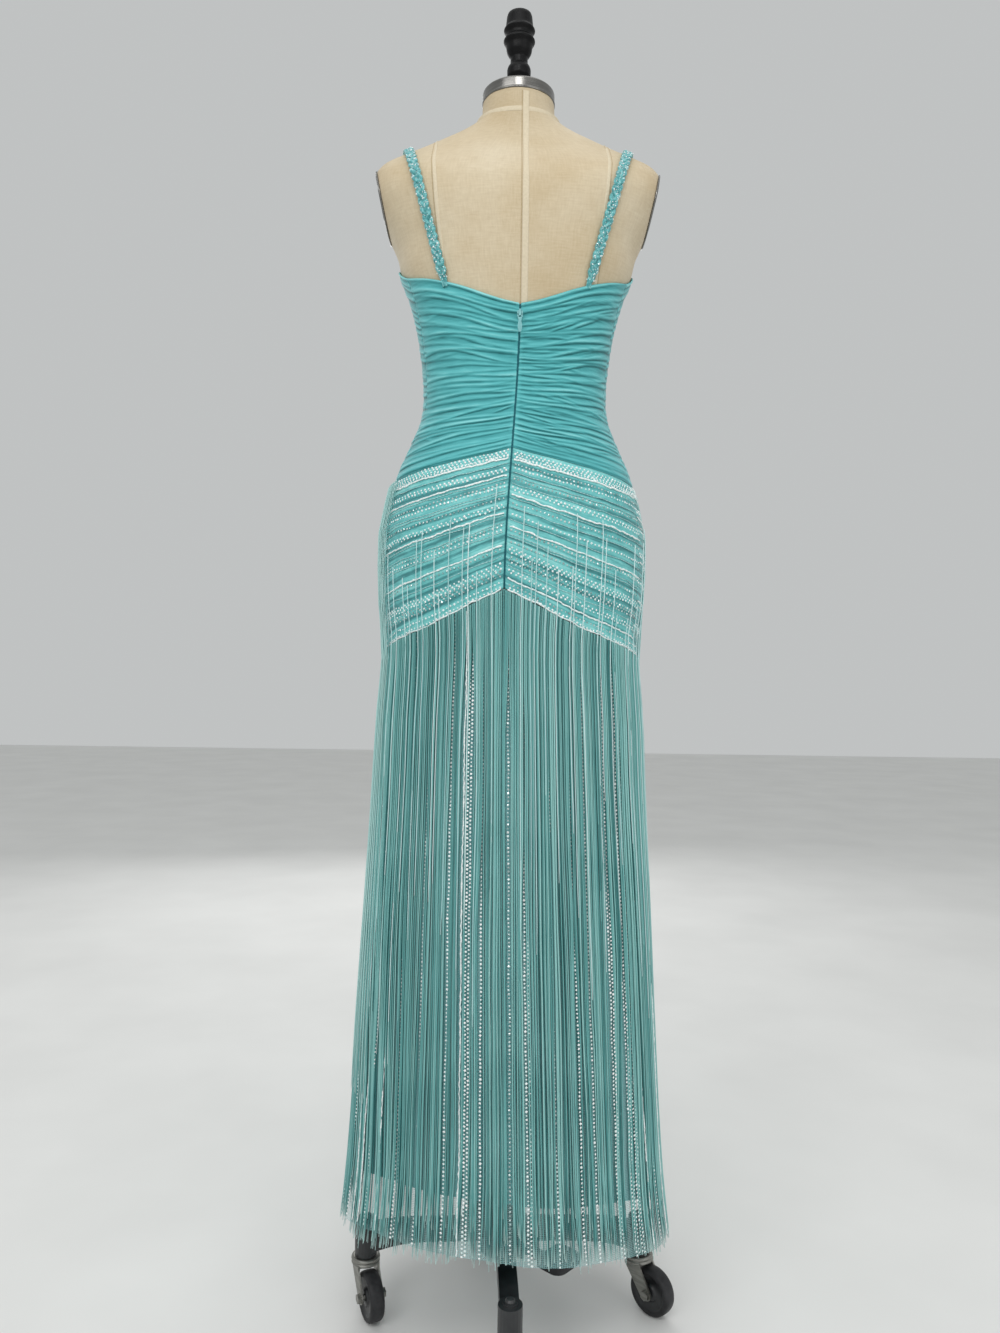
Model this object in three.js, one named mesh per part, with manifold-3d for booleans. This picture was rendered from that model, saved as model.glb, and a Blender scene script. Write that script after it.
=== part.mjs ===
// A fringed mermaid gown on a limbless dress form, which stands on a base with four casters.
// Millimetres. +Z is up and the floor is z = 0. The gown's front faces -Y and its left side is +X.
import * as THREE from 'three';
import { mergeVertices } from 'three/addons/utils/BufferGeometryUtils.js';
import Module from 'manifold-3d';

const wasm = await Module();
wasm.setup();

// ---------------------------------------------------------------- driving dimensions

const SEAM_GAP = 0.3; // between pieces that meet
const COLUMNS = 40; // facets round the figure
const SIDE_SEAM = 0.2; // the side seams, as a share of a turn from the centre back
const TORSO_BOTTOM = 900;
const NECK_TOP = 1652;
const TOTAL_HEIGHT = 1779;

const LEG_REACH = 188; // from the column to each caster's swivel
const BASE_TURN = 2.3; // degrees that the base is turned under the form
const WHEEL_RADIUS = 32;
const WHEEL_FACETS = 20;
const CASTER_TRAIL = 24; // from the swivel to the axle

// Distances out from the figure, inner wall and outer wall of each layer.
const LAYERS = {
  torso: { out: -1.6 },
  bodice: { in: 0, out: 1.6 },
  tape: { in: 0.2, out: 1.4 },
  yoke: { in: 0.4, out: 2.4 },
  lining: { in: 0, out: 1.0 },
  mesh: { in: 1.6, out: 2.6 },
  fringe: { in: 3.2, out: 5.2 },
  upperFringe: { in: 6.0, out: 7.4 },
};

// The figure under the cloth: half width, depth behind and in front of the middle, and how
// square each section is (2 is an ellipse).
const FIGURE = table(['z', 'half', 'back', 'front', 'power'], [
  [100, 223, 172, 160, 2.1],
  [147, 216, 166, 155, 2.1],
  [188, 211, 162, 151, 2.1],
  [230, 207.4, 158, 148, 2.1],
  [312, 201.7, 153, 144, 2.15],
  [395, 197.7, 149, 140, 2.15],
  [560, 188.7, 141, 132, 2.2],
  [725, 179.7, 133, 124, 2.2],
  [808, 175.7, 129, 119, 2.25],
  [890, 168.7, 126, 112, 2.3],
  [911, 168, 126.5, 111, 2.3],
  [973, 174.5, 130, 109, 2.3],
  [1035, 176, 131, 107, 2.3],
  [1055, 175.5, 130, 106.5, 2.3],
  [1097, 168, 124, 106, 2.3],
  [1138, 158, 114, 105, 2.3],
  [1179, 141, 102, 103, 2.25],
  [1220, 126, 93, 99, 2.2],
  [1241, 123.6, 91, 98, 2.2],
  [1262, 124, 91, 98, 2.2],
  [1303, 128, 94, 100, 2.3],
  [1344, 135, 98, 103, 2.4],
  [1386, 147, 102, 105, 2.5],
  [1413, 158, 104, 105, 2.6],
  [1439, 164, 105, 104, 2.6],
  [1459, 172, 105, 102, 2.7],
  [1484, 184, 104, 97, 2.8],
  [1515, 196, 98, 88, 3.0],
  [1537, 198, 86, 76, 3.0],
  [1552, 191, 75, 67, 2.9],
  [1566, 172, 65, 60, 2.6],
  [1580, 144, 58, 54, 2.35],
  [1594, 114, 54, 52, 2.2],
  [1607, 86, 51.8, 51, 2.05],
  [1619, 65, 51, 50.8, 2.0],
  [1630, 53.4, 50.8, 50.7, 2.0],
  [1640, 51, 50.7, 50.7, 2.0],
  [1652, 50.6, 50.6, 50.6, 2.0],
]);
const BUST = { z: 1377, x: 70, depth: 32, wide: 46, tall: 56 };

// Heights of the gown's edges, the same on both sides of the centre line.
const EDGES = table(['around', 'neckline', 'waistSeam', 'yokeHem'], [
  [0, 1347, 1160, 979],
  [0.025, 1351, 1154, 968],
  [0.05, 1357, 1149, 956],
  [0.1, 1372, 1140, 933],
  [0.15, 1385, 1132, 917],
  [0.2, 1397, 1126, 903],
  [0.25, 1421, 1122, 892],
  [0.3, 1439, 1116, 882],
  [0.35, 1455, 1109, 872],
  [0.4, 1466, 1102, 862],
  [0.45, 1454, 1095, 853],
  [0.5, 1430, 1089, 846],
]);

// The free edges at the bottom hang unevenly, so they are given all the way round.
const HEMS = table(['around', 'mesh', 'fringe'], [
  [0, 160, 164],
  [0.125, 165, 155],
  [0.25, 148, 150],
  [0.375, 148, 148],
  [0.5, 150, 148],
  [0.625, 140, 135],
  [0.75, 124, 121],
  [0.875, 142, 148],
  [1, 160, 164],
]);
const LINING_RISE = 68; // the lining ends this far above the mesh skirt
const UPPER_FRINGE_LENGTH = 810;
const UPPER_FRINGE_FROM = 0.175; // from just behind the left side seam
const UPPER_FRINGE_TO = 0.75; // to the right side

// The gown sits slightly twisted: its centre back drifts to its left on the way down.
const DRIFT = table(['z', 'left'], [
  [100, 0],
  [979, 11],
  [1347, -4.5],
  [1500, -4.5],
]);

const FOLDS = { count: 14, height: 1.2, spread: 0.9 };
const FLUTES = { top: 850, bottom: 150, depth: 4 };

// Rows of facets down each piece, as shares of its height.
const SKIRT_ROWS = [0, 0.12, 0.3, 0.55, 0.78, 0.9, 1];
const LINING_ROWS = [0, 0.12, 0.3, 0.55, 0.82, 1];
const YOKE_ROWS = [0, 0.17, 0.34, 0.5, 0.67, 0.84, 1];
const BODICE_INNER_ROWS = [0, 0.06, 0.12, 0.18, 0.24, 0.3, 0.37, 0.45, 0.54, 0.63, 0.73, 0.82, 0.91, 1];
const UPPER_FRINGE_ROWS = [0, 0.05, 0.1, 0.15, 0.2, 0.27, 0.36, 0.52, 0.68, 0.84, 1];
const TORSO_ROWS = [
  900, 935, 970, 1000, 1030, 1060, 1090, 1120, 1150, 1180, 1210, 1241, 1275, 1302, 1324, 1344, 1362,
  1380, 1398, 1418, 1440, 1462, 1490, 1515, 1538, 1556, 1570, 1581, 1591, 1600, 1609, 1618, 1628,
  1640, 1652,
];

// ---------------------------------------------------------------- materials

function finish(color, roughness, metalness = 0) {
  return new THREE.MeshStandardMaterial({ color, roughness, metalness });
}

const MATERIALS = {
  chiffon: finish(0x6fc8c8, 0.8),
  beadedCloth: finish(0x6cc4c4, 0.7),
  lining: finish(0x5fbcbf, 0.6),
  mesh: finish(0x8fd0d0, 0.7),
  fringe: finish(0x7fcaca, 0.6),
  braid: finish(0x86d2d4, 0.5),
  zip: finish(0x4aa9ad, 0.5),
  linen: finish(0xcdbf9f, 0.9),
  steel: finish(0xa8a8a6, 0.35, 1),
  blackPaint: finish(0x111213, 0.45),
  rubber: finish(0x17181a, 0.8),
  greySteel: finish(0x8d8f8c, 0.5, 1),
};

const gown = new THREE.Group();

function add(name, geometry, material, parent = gown) {
  const mesh = new THREE.Mesh(geometry, material);
  mesh.name = name;
  parent.add(mesh);
  return mesh;
}

// ---------------------------------------------------------------- tables and the figure

function table(columns, rows) {
  return rows.map((row) => Object.fromEntries(columns.map((name, i) => [name, row[i]])));
}

// A smooth curve through two columns of a table, with no overshoot between its rows.
function curveThrough(rows, xName, yName) {
  const xs = rows.map((row) => row[xName]);
  const ys = rows.map((row) => row[yName]);
  const last = xs.length - 1;
  const rise = xs.slice(0, last).map((x, i) => (ys[i + 1] - ys[i]) / (xs[i + 1] - x));
  const slopes = xs.map((x, i) => {
    if (i === 0) return rise[0];
    if (i === last) return rise[last - 1];
    const [before, after] = [rise[i - 1], rise[i]];
    return before * after > 0 ? (2 * before * after) / (before + after) : 0;
  });
  return (x) => {
    let i = 0;
    while (i < last - 1 && x > xs[i + 1]) i += 1;
    const width = xs[i + 1] - xs[i];
    const t = Math.min(1, Math.max(0, (x - xs[i]) / width));
    const blend = t * t * (3 - 2 * t);
    const level = ys[i] * (1 - blend) + ys[i + 1] * blend;
    return level + width * t * (1 - t) * ((1 - t) * slopes[i] - t * slopes[i + 1]);
  };
}

const halfAt = curveThrough(FIGURE, 'z', 'half');
const backAt = curveThrough(FIGURE, 'z', 'back');
const frontAt = curveThrough(FIGURE, 'z', 'front');
const powerAt = curveThrough(FIGURE, 'z', 'power');
const driftAt = curveThrough(DRIFT, 'z', 'left');
const meshHemAt = curveThrough(HEMS, 'around', 'mesh');
const fringeHemAt = curveThrough(HEMS, 'around', 'fringe');

function bothSides(curve) {
  return (around) => curve(around <= 0.5 ? around : 1 - around);
}

const necklineAt = bothSides(curveThrough(EDGES, 'around', 'neckline'));
const waistSeamAt = bothSides(curveThrough(EDGES, 'around', 'waistSeam'));
const yokeHemAt = bothSides(curveThrough(EDGES, 'around', 'yokeHem'));

function bustAt(x, z) {
  const across = (x - BUST.x) / BUST.wide;
  const up = (z - BUST.z) / BUST.tall;
  return BUST.depth * Math.exp(-(across * across + up * up) / 2);
}

// A quarter of the section at height z, from the centre line to the side, in equal turns.
const QUARTER_STEPS = 96;
const quarterCache = new Map();

function quarter(z, isFront) {
  const key = `${z.toFixed(4)} ${isFront}`;
  if (quarterCache.has(key)) return quarterCache.get(key);
  const half = halfAt(z);
  const depth = isFront ? frontAt(z) : backAt(z);
  const power = 2 / powerAt(z);
  const points = [];
  for (let i = 0; i <= QUARTER_STEPS; i += 1) {
    const turn = (i / QUARTER_STEPS) * (Math.PI / 2);
    const x = half * Math.sin(turn) ** power;
    const ahead = isFront ? bustAt(x, z) * Math.min(1, 1.6 * Math.cos(turn)) : 0;
    points.push([x, i === QUARTER_STEPS ? 0 : depth * Math.cos(turn) ** power + ahead]);
  }
  const lengths = [0];
  for (let i = 1; i < points.length; i += 1) {
    const step = Math.hypot(points[i][0] - points[i - 1][0], points[i][1] - points[i - 1][1]);
    lengths.push(lengths[i - 1] + step);
  }
  const normals = points.map((point, i) => {
    if (i === 0) return [0, 1];
    if (i === QUARTER_STEPS) return [1, 0];
    const dx = points[i + 1][0] - points[i - 1][0];
    const dy = points[i + 1][1] - points[i - 1][1];
    const size = Math.hypot(dx, dy);
    return [-dy / size, dx / size];
  });
  const result = { points, normals, lengths, length: lengths[QUARTER_STEPS] };
  quarterCache.set(key, result);
  return result;
}

// A point of the figure: `around` is a share of a turn from the centre back by way of the left
// side, and `out` is the distance out from the figure.
function onFigure(z, around, out) {
  const turn = around - Math.floor(around);
  const side = turn <= 0.5 ? 1 : -1;
  const fromBack = side > 0 ? turn : 1 - turn;
  const isFront = fromBack > 0.25;
  const share = (isFront ? 0.5 - fromBack : fromBack) / 0.25;
  const { points, normals, lengths, length } = quarter(z, isFront);
  let i = 0;
  while (i < QUARTER_STEPS - 1 && lengths[i + 1] < share * length) i += 1;
  const t = (share * length - lengths[i]) / (lengths[i + 1] - lengths[i]);
  const mix = (a, b) => a + (b - a) * t;
  const nx = mix(normals[i][0], normals[i + 1][0]);
  const ny = mix(normals[i][1], normals[i + 1][1]);
  const size = Math.hypot(nx, ny);
  const x = mix(points[i][0], points[i + 1][0]) + (out * nx) / size;
  const y = mix(points[i][1], points[i + 1][1]) + (out * ny) / size;
  return [side * x, isFront ? -y : y, z];
}

// The skirt's long soft flutes, deepest at the hem.
function fluteAt(z, around) {
  const down = Math.min(1, Math.max(0, (FLUTES.top - z) / (FLUTES.top - FLUTES.bottom)));
  const turn = 2 * Math.PI * around;
  const wave = 0.6 * Math.cos(5 * turn + 0.7) + 0.4 * Math.cos(8 * turn + 2.1);
  return FLUTES.depth * down * down * wave;
}

// A point of the gown, `inset` mm further round than its nominal place.
function onGown(z, around, out, inset) {
  const perMillimetre = 0.25 / quarter(z, false).length;
  const place = around + (driftAt(z) + inset) * perMillimetre;
  return onFigure(z, place, out + fluteAt(z, around));
}

// ---------------------------------------------------------------- closed panels of cloth

function solidFromFaces(vertices, faces) {
  const geometry = new THREE.BufferGeometry();
  geometry.setAttribute('position', new THREE.Float32BufferAttribute(vertices.flat(), 3));
  geometry.setIndex(faces.flat());
  return geometry;
}

// The columns of facets from one share of a turn to another, on the grid that all pieces share.
function columnsBetween(from, to) {
  const columns = [];
  const count = Math.round((to - from) * COLUMNS);
  for (let i = 0; i <= count; i += 1) columns.push(from + (i * (to - from)) / count);
  return columns;
}

// A closed wall between two columns of the gown. `top` and `bottom` give its edges' heights,
// `outer` its outer distance at a place and a share of the height, and `inner` its inner one.
function panel({ columns, startInset, endInset, top, bottom, rows, innerRows = rows, outer, inner }) {
  const vertices = [];
  const lastColumn = columns.length - 1;
  const grid = (shares, outAt) => shares.map((share) => columns.map((around, c) => {
    const inset = (c === 0 ? startInset : 0) - (c === lastColumn ? endInset : 0);
    const z = top(around) + share * (bottom(around) - top(around));
    return vertices.push(onGown(z, around, outAt(around, share), inset)) - 1;
  }));
  const outside = grid(rows, outer);
  const inside = grid(innerRows, () => inner);
  const faces = [];
  const quad = (a, b, c, d) => faces.push([a, b, c], [a, c, d]);
  const lastOut = rows.length - 1;
  const lastIn = innerRows.length - 1;
  for (let c = 0; c < lastColumn; c += 1) {
    for (let r = 0; r < lastOut; r += 1) {
      quad(outside[r][c], outside[r][c + 1], outside[r + 1][c + 1], outside[r + 1][c]);
    }
    for (let r = 0; r < lastIn; r += 1) {
      quad(inside[r][c], inside[r + 1][c], inside[r + 1][c + 1], inside[r][c + 1]);
    }
    quad(inside[0][c], inside[0][c + 1], outside[0][c + 1], outside[0][c]);
    quad(outside[lastOut][c], outside[lastOut][c + 1], inside[lastIn][c + 1], inside[lastIn][c]);
  }
  for (const c of [0, lastColumn]) {
    let [r, k] = [0, 0];
    const push = (a, b, d) => faces.push(c === 0 ? [a, b, d] : [a, d, b]);
    while (r < lastOut || k < lastIn) {
      const outsideNext = k === lastIn || (r < lastOut && rows[r + 1] <= innerRows[k + 1]);
      if (outsideNext) {
        push(outside[r][c], outside[r + 1][c], inside[k][c]);
        r += 1;
      } else {
        push(outside[r][c], inside[k + 1][c], inside[k][c]);
        k += 1;
      }
    }
  }
  return solidFromFaces(vertices, faces);
}

// ---------------------------------------------------------------- bodice

const CENTRE_INSET = 1.8; // leaves room for the zip between the two backs
const EDGE_INSET = SEAM_GAP / 2;

// Each horizontal fold runs from side seam to side seam and follows the edges above and below.
function foldHeight(fold, around) {
  const uneven = Math.sin(fold * 12.9898) * 43758.5453;
  const own = uneven - Math.floor(uneven);
  const along = 0.75 + 0.25 * Math.sin(2 * Math.PI * (3 * around + own));
  return (FOLDS.height + FOLDS.spread * own) * along;
}

function bodicePanel(from, to, startInset, endInset) {
  const rows = [];
  for (let i = 0; i <= 2 * FOLDS.count; i += 1) rows.push(i / (2 * FOLDS.count));
  return panel({
    columns: columnsBetween(from, to),
    startInset,
    endInset,
    top: necklineAt,
    bottom: (around) => waistSeamAt(around) + SEAM_GAP,
    rows,
    innerRows: BODICE_INNER_ROWS,
    outer: (around, share) => {
      const row = Math.round(share * 2 * FOLDS.count);
      return LAYERS.bodice.out + (row % 2 === 1 ? foldHeight((row - 1) / 2, around) : 0);
    },
    inner: LAYERS.bodice.in,
  });
}

add('bodice_front', bodicePanel(SIDE_SEAM, 1 - SIDE_SEAM, EDGE_INSET, EDGE_INSET), MATERIALS.chiffon);
add('bodice_back_left', bodicePanel(0, SIDE_SEAM, CENTRE_INSET, EDGE_INSET), MATERIALS.chiffon);
add('bodice_back_right', bodicePanel(1 - SIDE_SEAM, 1, EDGE_INSET, CENTRE_INSET), MATERIALS.chiffon);

// ---------------------------------------------------------------- yoke, lining, skirt, fringe

function layerPanel(layer, from, to, startInset, endInset, top, bottom, rows) {
  return panel({
    columns: columnsBetween(from, to),
    startInset,
    endInset,
    top,
    bottom,
    rows,
    outer: () => layer.out,
    inner: layer.in,
  });
}

function yokePanel(from, to, startInset, endInset) {
  const { yoke } = LAYERS;
  return layerPanel(yoke, from, to, startInset, endInset, waistSeamAt, yokeHemAt, YOKE_ROWS);
}

add('yoke_front', yokePanel(SIDE_SEAM, 1 - SIDE_SEAM, EDGE_INSET, EDGE_INSET), MATERIALS.beadedCloth);
add('yoke_back_left', yokePanel(0, SIDE_SEAM, CENTRE_INSET, EDGE_INSET), MATERIALS.beadedCloth);
add('yoke_back_right', yokePanel(1 - SIDE_SEAM, 1, EDGE_INSET, CENTRE_INSET), MATERIALS.beadedCloth);

function skirtTop(around) {
  return yokeHemAt(around) - SEAM_GAP;
}

function liningHem(around) {
  return meshHemAt(around) + LINING_RISE;
}

function skirtPanel(layer, from, to, hem) {
  return layerPanel(layer, from, to, EDGE_INSET, EDGE_INSET, skirtTop, hem, SKIRT_ROWS);
}

const BACK = [-SIDE_SEAM, SIDE_SEAM];
const FRONT = [SIDE_SEAM, 1 - SIDE_SEAM];

// Hems are tabled from 0 to 1, and a back panel starts below 0.
function wrapped(curve) {
  return (around) => curve(around - Math.floor(around));
}

const skirtTopAt = wrapped(skirtTop);
for (const [side, range] of [['back', BACK], ['front', FRONT]]) {
  const make = (layer, hem, rows) => layerPanel(
    layer, range[0], range[1], EDGE_INSET, EDGE_INSET, skirtTopAt, wrapped(hem), rows,
  );
  add(`lining_${side}`, make(LAYERS.lining, liningHem, LINING_ROWS), MATERIALS.lining);
  add(`mesh_${side}`, make(LAYERS.mesh, meshHemAt, SKIRT_ROWS), MATERIALS.mesh);
}

const { fringe, upperFringe } = LAYERS;
add('fringe_back_left', skirtPanel(fringe, 0, SIDE_SEAM, fringeHemAt), MATERIALS.fringe);
add('fringe_back_right', skirtPanel(fringe, 1 - SIDE_SEAM, 1, fringeHemAt), MATERIALS.fringe);
add('fringe_front', skirtPanel(fringe, FRONT[0], FRONT[1], fringeHemAt), MATERIALS.fringe);

function upperFringeTop(around) {
  return waistSeamAt(around) - 2;
}

add('fringe_upper', layerPanel(
  upperFringe, UPPER_FRINGE_FROM, UPPER_FRINGE_TO, EDGE_INSET, EDGE_INSET,
  upperFringeTop, (around) => upperFringeTop(around) - UPPER_FRINGE_LENGTH, UPPER_FRINGE_ROWS,
), MATERIALS.fringe);

// ---------------------------------------------------------------- zip

const TAPE_HALF_WIDTH = 1.5;
const SLIDER = { top: 9, height: 9, halfWidth: 1.5, in: 2.2, out: 7.8 };
const PIN = { radius: 0.8, halfLength: 3.7, out: 6.6 };
const PULL = { thick: 1.4, armIn: 1.8, armOut: 3.6, notch: 6, eye: 1.1, reach: 1.9, plate: 2.4 };
// The pull is a slim leaf: half its width at each distance below the pin.
const LEAF = table(['half', 'down'], [
  [3.6, 3],
  [3.3, 5],
  [2.7, 7.2],
  [2, 9.5],
  [2.1, 12],
  [2.9, 16.5],
  [2.8, 19.5],
  [2.1, 22.8],
  [1.2, 24.5],
  [0.4, 25],
]);

add('zip_tape', panel({
  columns: [0, 0],
  startInset: -TAPE_HALF_WIDTH,
  endInset: -TAPE_HALF_WIDTH,
  top: () => necklineAt(0) - 1,
  bottom: () => yokeHemAt(0) + 1,
  rows: BODICE_INNER_ROWS,
  outer: () => LAYERS.tape.out,
  inner: LAYERS.tape.in,
}), MATERIALS.zip);

// The slider and its pull stand on the tape just under the neckline.
const sliderZ = necklineAt(0) - SLIDER.top - SLIDER.height / 2;
const [zipX, zipY] = onGown(sliderZ, 0, 0, 0);

function toSolid(geometry) {
  const plain = geometry.index ? geometry.clone() : geometry;
  plain.deleteAttribute('normal');
  plain.deleteAttribute('uv');
  const merged = mergeVertices(plain, 1e-4);
  return new wasm.Manifold(new wasm.Mesh({
    numProp: 3,
    vertProperties: new Float32Array(merged.attributes.position.array),
    triVerts: new Uint32Array(merged.index.array),
  }));
}

function fromSolid(solid) {
  const { vertProperties, triVerts } = solid.getMesh();
  const geometry = new THREE.BufferGeometry();
  geometry.setAttribute('position', new THREE.Float32BufferAttribute(vertProperties, 3));
  geometry.setIndex(Array.from(triVerts));
  return geometry;
}

function joined(...geometries) {
  return fromSolid(geometries.map(toSolid).reduce((whole, next) => whole.add(next)));
}

function box(x0, x1, y0, y1, z0, z1) {
  const geometry = new THREE.BoxGeometry(x1 - x0, y1 - y0, z1 - z0);
  return geometry.translate((x0 + x1) / 2, (y0 + y1) / 2, (z0 + z1) / 2);
}

// Cylinders along each axis: three's own stands along Y.
function cylinderY(radius, y0, y1, facets = 16) {
  return new THREE.CylinderGeometry(radius, radius, y1 - y0, facets).translate(0, (y0 + y1) / 2, 0);
}

function cylinderX(radius, x0, x1, facets) {
  return cylinderY(radius, x0, x1, facets).rotateZ(-Math.PI / 2);
}

function cylinderZ(radius, z0, z1, facets) {
  return cylinderY(radius, z0, z1, facets).rotateX(Math.PI / 2);
}

// A profile of [radius, height] turned about the upright axis.
function turned(profile, facets = 32) {
  const points = profile.map(([radius, height]) => new THREE.Vector2(radius, height));
  return mergeVertices(stripped(new THREE.LatheGeometry(points, facets)), 1e-4)
    .rotateX(Math.PI / 2);
}

function stripped(geometry) {
  geometry.deleteAttribute('normal');
  geometry.deleteAttribute('uv');
  return geometry;
}

const sliderBody = box(
  -SLIDER.halfWidth, SLIDER.halfWidth, SLIDER.in, SLIDER.out, -SLIDER.height / 2, SLIDER.height / 2,
);
const sliderPin = cylinderX(PIN.radius, -PIN.halfLength, PIN.halfLength, 12)
  .translate(0, PIN.out, 0);
add('zip_slider', joined(sliderBody, sliderPin), MATERIALS.zip).position.set(zipX, zipY, sliderZ);

// The pull hangs from the pin by two eyes that straddle the slider.
function pullShape() {
  const shape = new THREE.Shape();
  const { armIn, armOut, notch, reach } = PULL;
  shape.moveTo(-armOut, reach);
  shape.lineTo(-armIn, reach);
  shape.lineTo(-armIn, -notch);
  shape.lineTo(armIn, -notch);
  shape.lineTo(armIn, reach);
  shape.lineTo(armOut, reach);
  for (const { half, down } of LEAF) shape.lineTo(half, -down);
  for (const { half, down } of [...LEAF].reverse()) shape.lineTo(-half, -down);
  return shape;
}

const pullPlate = new THREE.ExtrudeGeometry(pullShape(), {
  depth: 2 * PULL.reach, bevelEnabled: false,
}).rotateX(Math.PI / 2).translate(0, PULL.reach, 0);
const pullSolid = toSolid(pullPlate)
  .subtract(toSolid(cylinderX(PULL.eye, -5, 5, 12)))
  .subtract(toSolid(box(-5, 5, PULL.thick / 2, 5, -40, -PULL.plate)))
  .subtract(toSolid(box(-5, 5, -5, -PULL.thick / 2, -40, -PULL.plate)));
add('zip_pull', fromSolid(pullSolid), MATERIALS.zip).position.set(zipX, zipY + PIN.out, sliderZ);

// ---------------------------------------------------------------- straps

const STRAP = { width: 15, thick: 4, clear: 0.5, steps: 22 };
// Each strap keeps to a leaning upright plane: x grows with height, behind and in front.
const STRAP_BACK = { x: 94.4, z: 1383, lean: 0.279 };
const STRAP_FRONT = { x: 108, z: 1476, lean: 0.38 };
const SHOULDER_HUB = 1480; // the height that the strap's path is swept about

function insideFigure(x, y, z) {
  const depth = y >= 0 ? backAt(z) : frontAt(z);
  const ahead = y >= 0 ? 0 : bustAt(x, z);
  const power = powerAt(z);
  const squashed = Math.max(0, Math.abs(y) - ahead);
  return (Math.abs(x) / halfAt(z)) ** power + (squashed / depth) ** power < 1;
}

function strapPoint(sweep) {
  let [near, far] = [0, 260];
  for (let i = 0; i < 40; i += 1) {
    const reach = (near + far) / 2;
    const y = reach * Math.cos(sweep);
    const z = SHOULDER_HUB + reach * Math.sin(sweep);
    const plane = y >= 0 ? STRAP_BACK : STRAP_FRONT;
    if (insideFigure(plane.x + plane.lean * (z - plane.z), y, z)) near = reach;
    else far = reach;
  }
  const y = near * Math.cos(sweep);
  const z = SHOULDER_HUB + near * Math.sin(sweep);
  const plane = y >= 0 ? STRAP_BACK : STRAP_FRONT;
  return new THREE.Vector3(plane.x + plane.lean * (z - plane.z), y, z);
}

// The figure's outward direction at a point on it, from small steps along each axis.
function outwardAt(point) {
  const field = (x, y, z) => {
    const depth = y >= 0 ? backAt(z) : frontAt(z);
    const power = powerAt(z);
    return (Math.abs(x) / halfAt(z)) ** power + (Math.abs(y) / depth) ** power;
  };
  const { x, y, z } = point;
  const step = 0.5;
  return new THREE.Vector3(
    field(x + step, y, z) - field(x - step, y, z),
    field(x, y + step, z) - field(x, y - step, z),
    field(x, y, z + step) - field(x, y, z - step),
  ).normalize();
}

function sweepAtHeight(target, from, to) {
  let [low, high] = [from, to];
  for (let i = 0; i < 40; i += 1) {
    const middle = (low + high) / 2;
    const isShort = (strapPoint(middle).z - target) * (strapPoint(high).z - target) < 0;
    if (isShort) low = middle;
    else high = middle;
  }
  return low;
}

function strapGeometry(side) {
  const from = sweepAtHeight(STRAP_BACK.z, -1.2, 0.8);
  const to = sweepAtHeight(STRAP_FRONT.z, 2.4, 3.6);
  const vertices = [];
  const faces = [];
  const rings = [];
  for (let i = 0; i <= STRAP.steps; i += 1) {
    const sweep = from + ((to - from) * i) / STRAP.steps;
    const point = strapPoint(sweep);
    const ahead = strapPoint(sweep + 0.02).sub(strapPoint(sweep - 0.02)).normalize();
    const out = outwardAt(point);
    out.addScaledVector(ahead, -out.dot(ahead)).normalize();
    const across = new THREE.Vector3().crossVectors(ahead, out);
    const ring = [[-1, 0], [1, 0], [1, 1], [-1, 1]].map(([wide, high]) => {
      const corner = point.clone()
        .addScaledVector(across, (wide * STRAP.width) / 2)
        .addScaledVector(out, STRAP.clear + high * STRAP.thick);
      return vertices.push([side * corner.x, corner.y, corner.z]) - 1;
    });
    rings.push(ring);
  }
  const put = (a, b, c) => faces.push(side > 0 ? [a, b, c] : [a, c, b]);
  for (let i = 0; i < STRAP.steps; i += 1) {
    for (let k = 0; k < 4; k += 1) {
      const next = (k + 1) % 4;
      put(rings[i][k], rings[i + 1][next], rings[i][next]);
      put(rings[i][k], rings[i + 1][k], rings[i + 1][next]);
    }
  }
  const [first, last] = [rings[0], rings[STRAP.steps]];
  put(first[0], first[1], first[2]);
  put(first[0], first[2], first[3]);
  put(last[0], last[2], last[1]);
  put(last[0], last[3], last[2]);
  return solidFromFaces(vertices, faces);
}

add('strap_left', strapGeometry(1), MATERIALS.braid);
add('strap_right', strapGeometry(-1), MATERIALS.braid);

// ---------------------------------------------------------------- the dress form

const PLATE = { x: 172.5, z: 1462, tilt: 11.3, thick: 3, height: 150, below: 20 }; // the armhole's cut

function torsoBeforeCuts() {
  const vertices = [];
  const faces = [];
  for (const z of TORSO_ROWS) {
    for (let c = 0; c < COLUMNS; c += 1) vertices.push(onGown(z, c / COLUMNS, LAYERS.torso.out, 0));
  }
  const last = TORSO_ROWS.length - 1;
  const at = (row, column) => row * COLUMNS + (column % COLUMNS);
  for (let r = 0; r < last; r += 1) {
    for (let c = 0; c < COLUMNS; c += 1) {
      faces.push([at(r + 1, c), at(r + 1, c + 1), at(r, c + 1)]);
      faces.push([at(r + 1, c), at(r, c + 1), at(r, c)]);
    }
  }
  for (let c = 1; c < COLUMNS - 1; c += 1) {
    faces.push([at(0, 0), at(0, c), at(0, c + 1)]);
    faces.push([at(last, 0), at(last, c + 1), at(last, c)]);
  }
  return toSolid(solidFromFaces(vertices, faces));
}

// A slab of the space beside the torso, between two distances out from the armhole's cut.
function armholeSlab(side, from, to) {
  const tilt = THREE.MathUtils.degToRad(PLATE.tilt) * side;
  const geometry = new THREE.BoxGeometry(to - from, 400, PLATE.height);
  geometry.translate((side * (from + to)) / 2, 0, PLATE.height / 2 - PLATE.below)
    .rotateY(tilt)
    .translate(side * PLATE.x, 0, PLATE.z);
  return toSolid(geometry);
}

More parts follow.
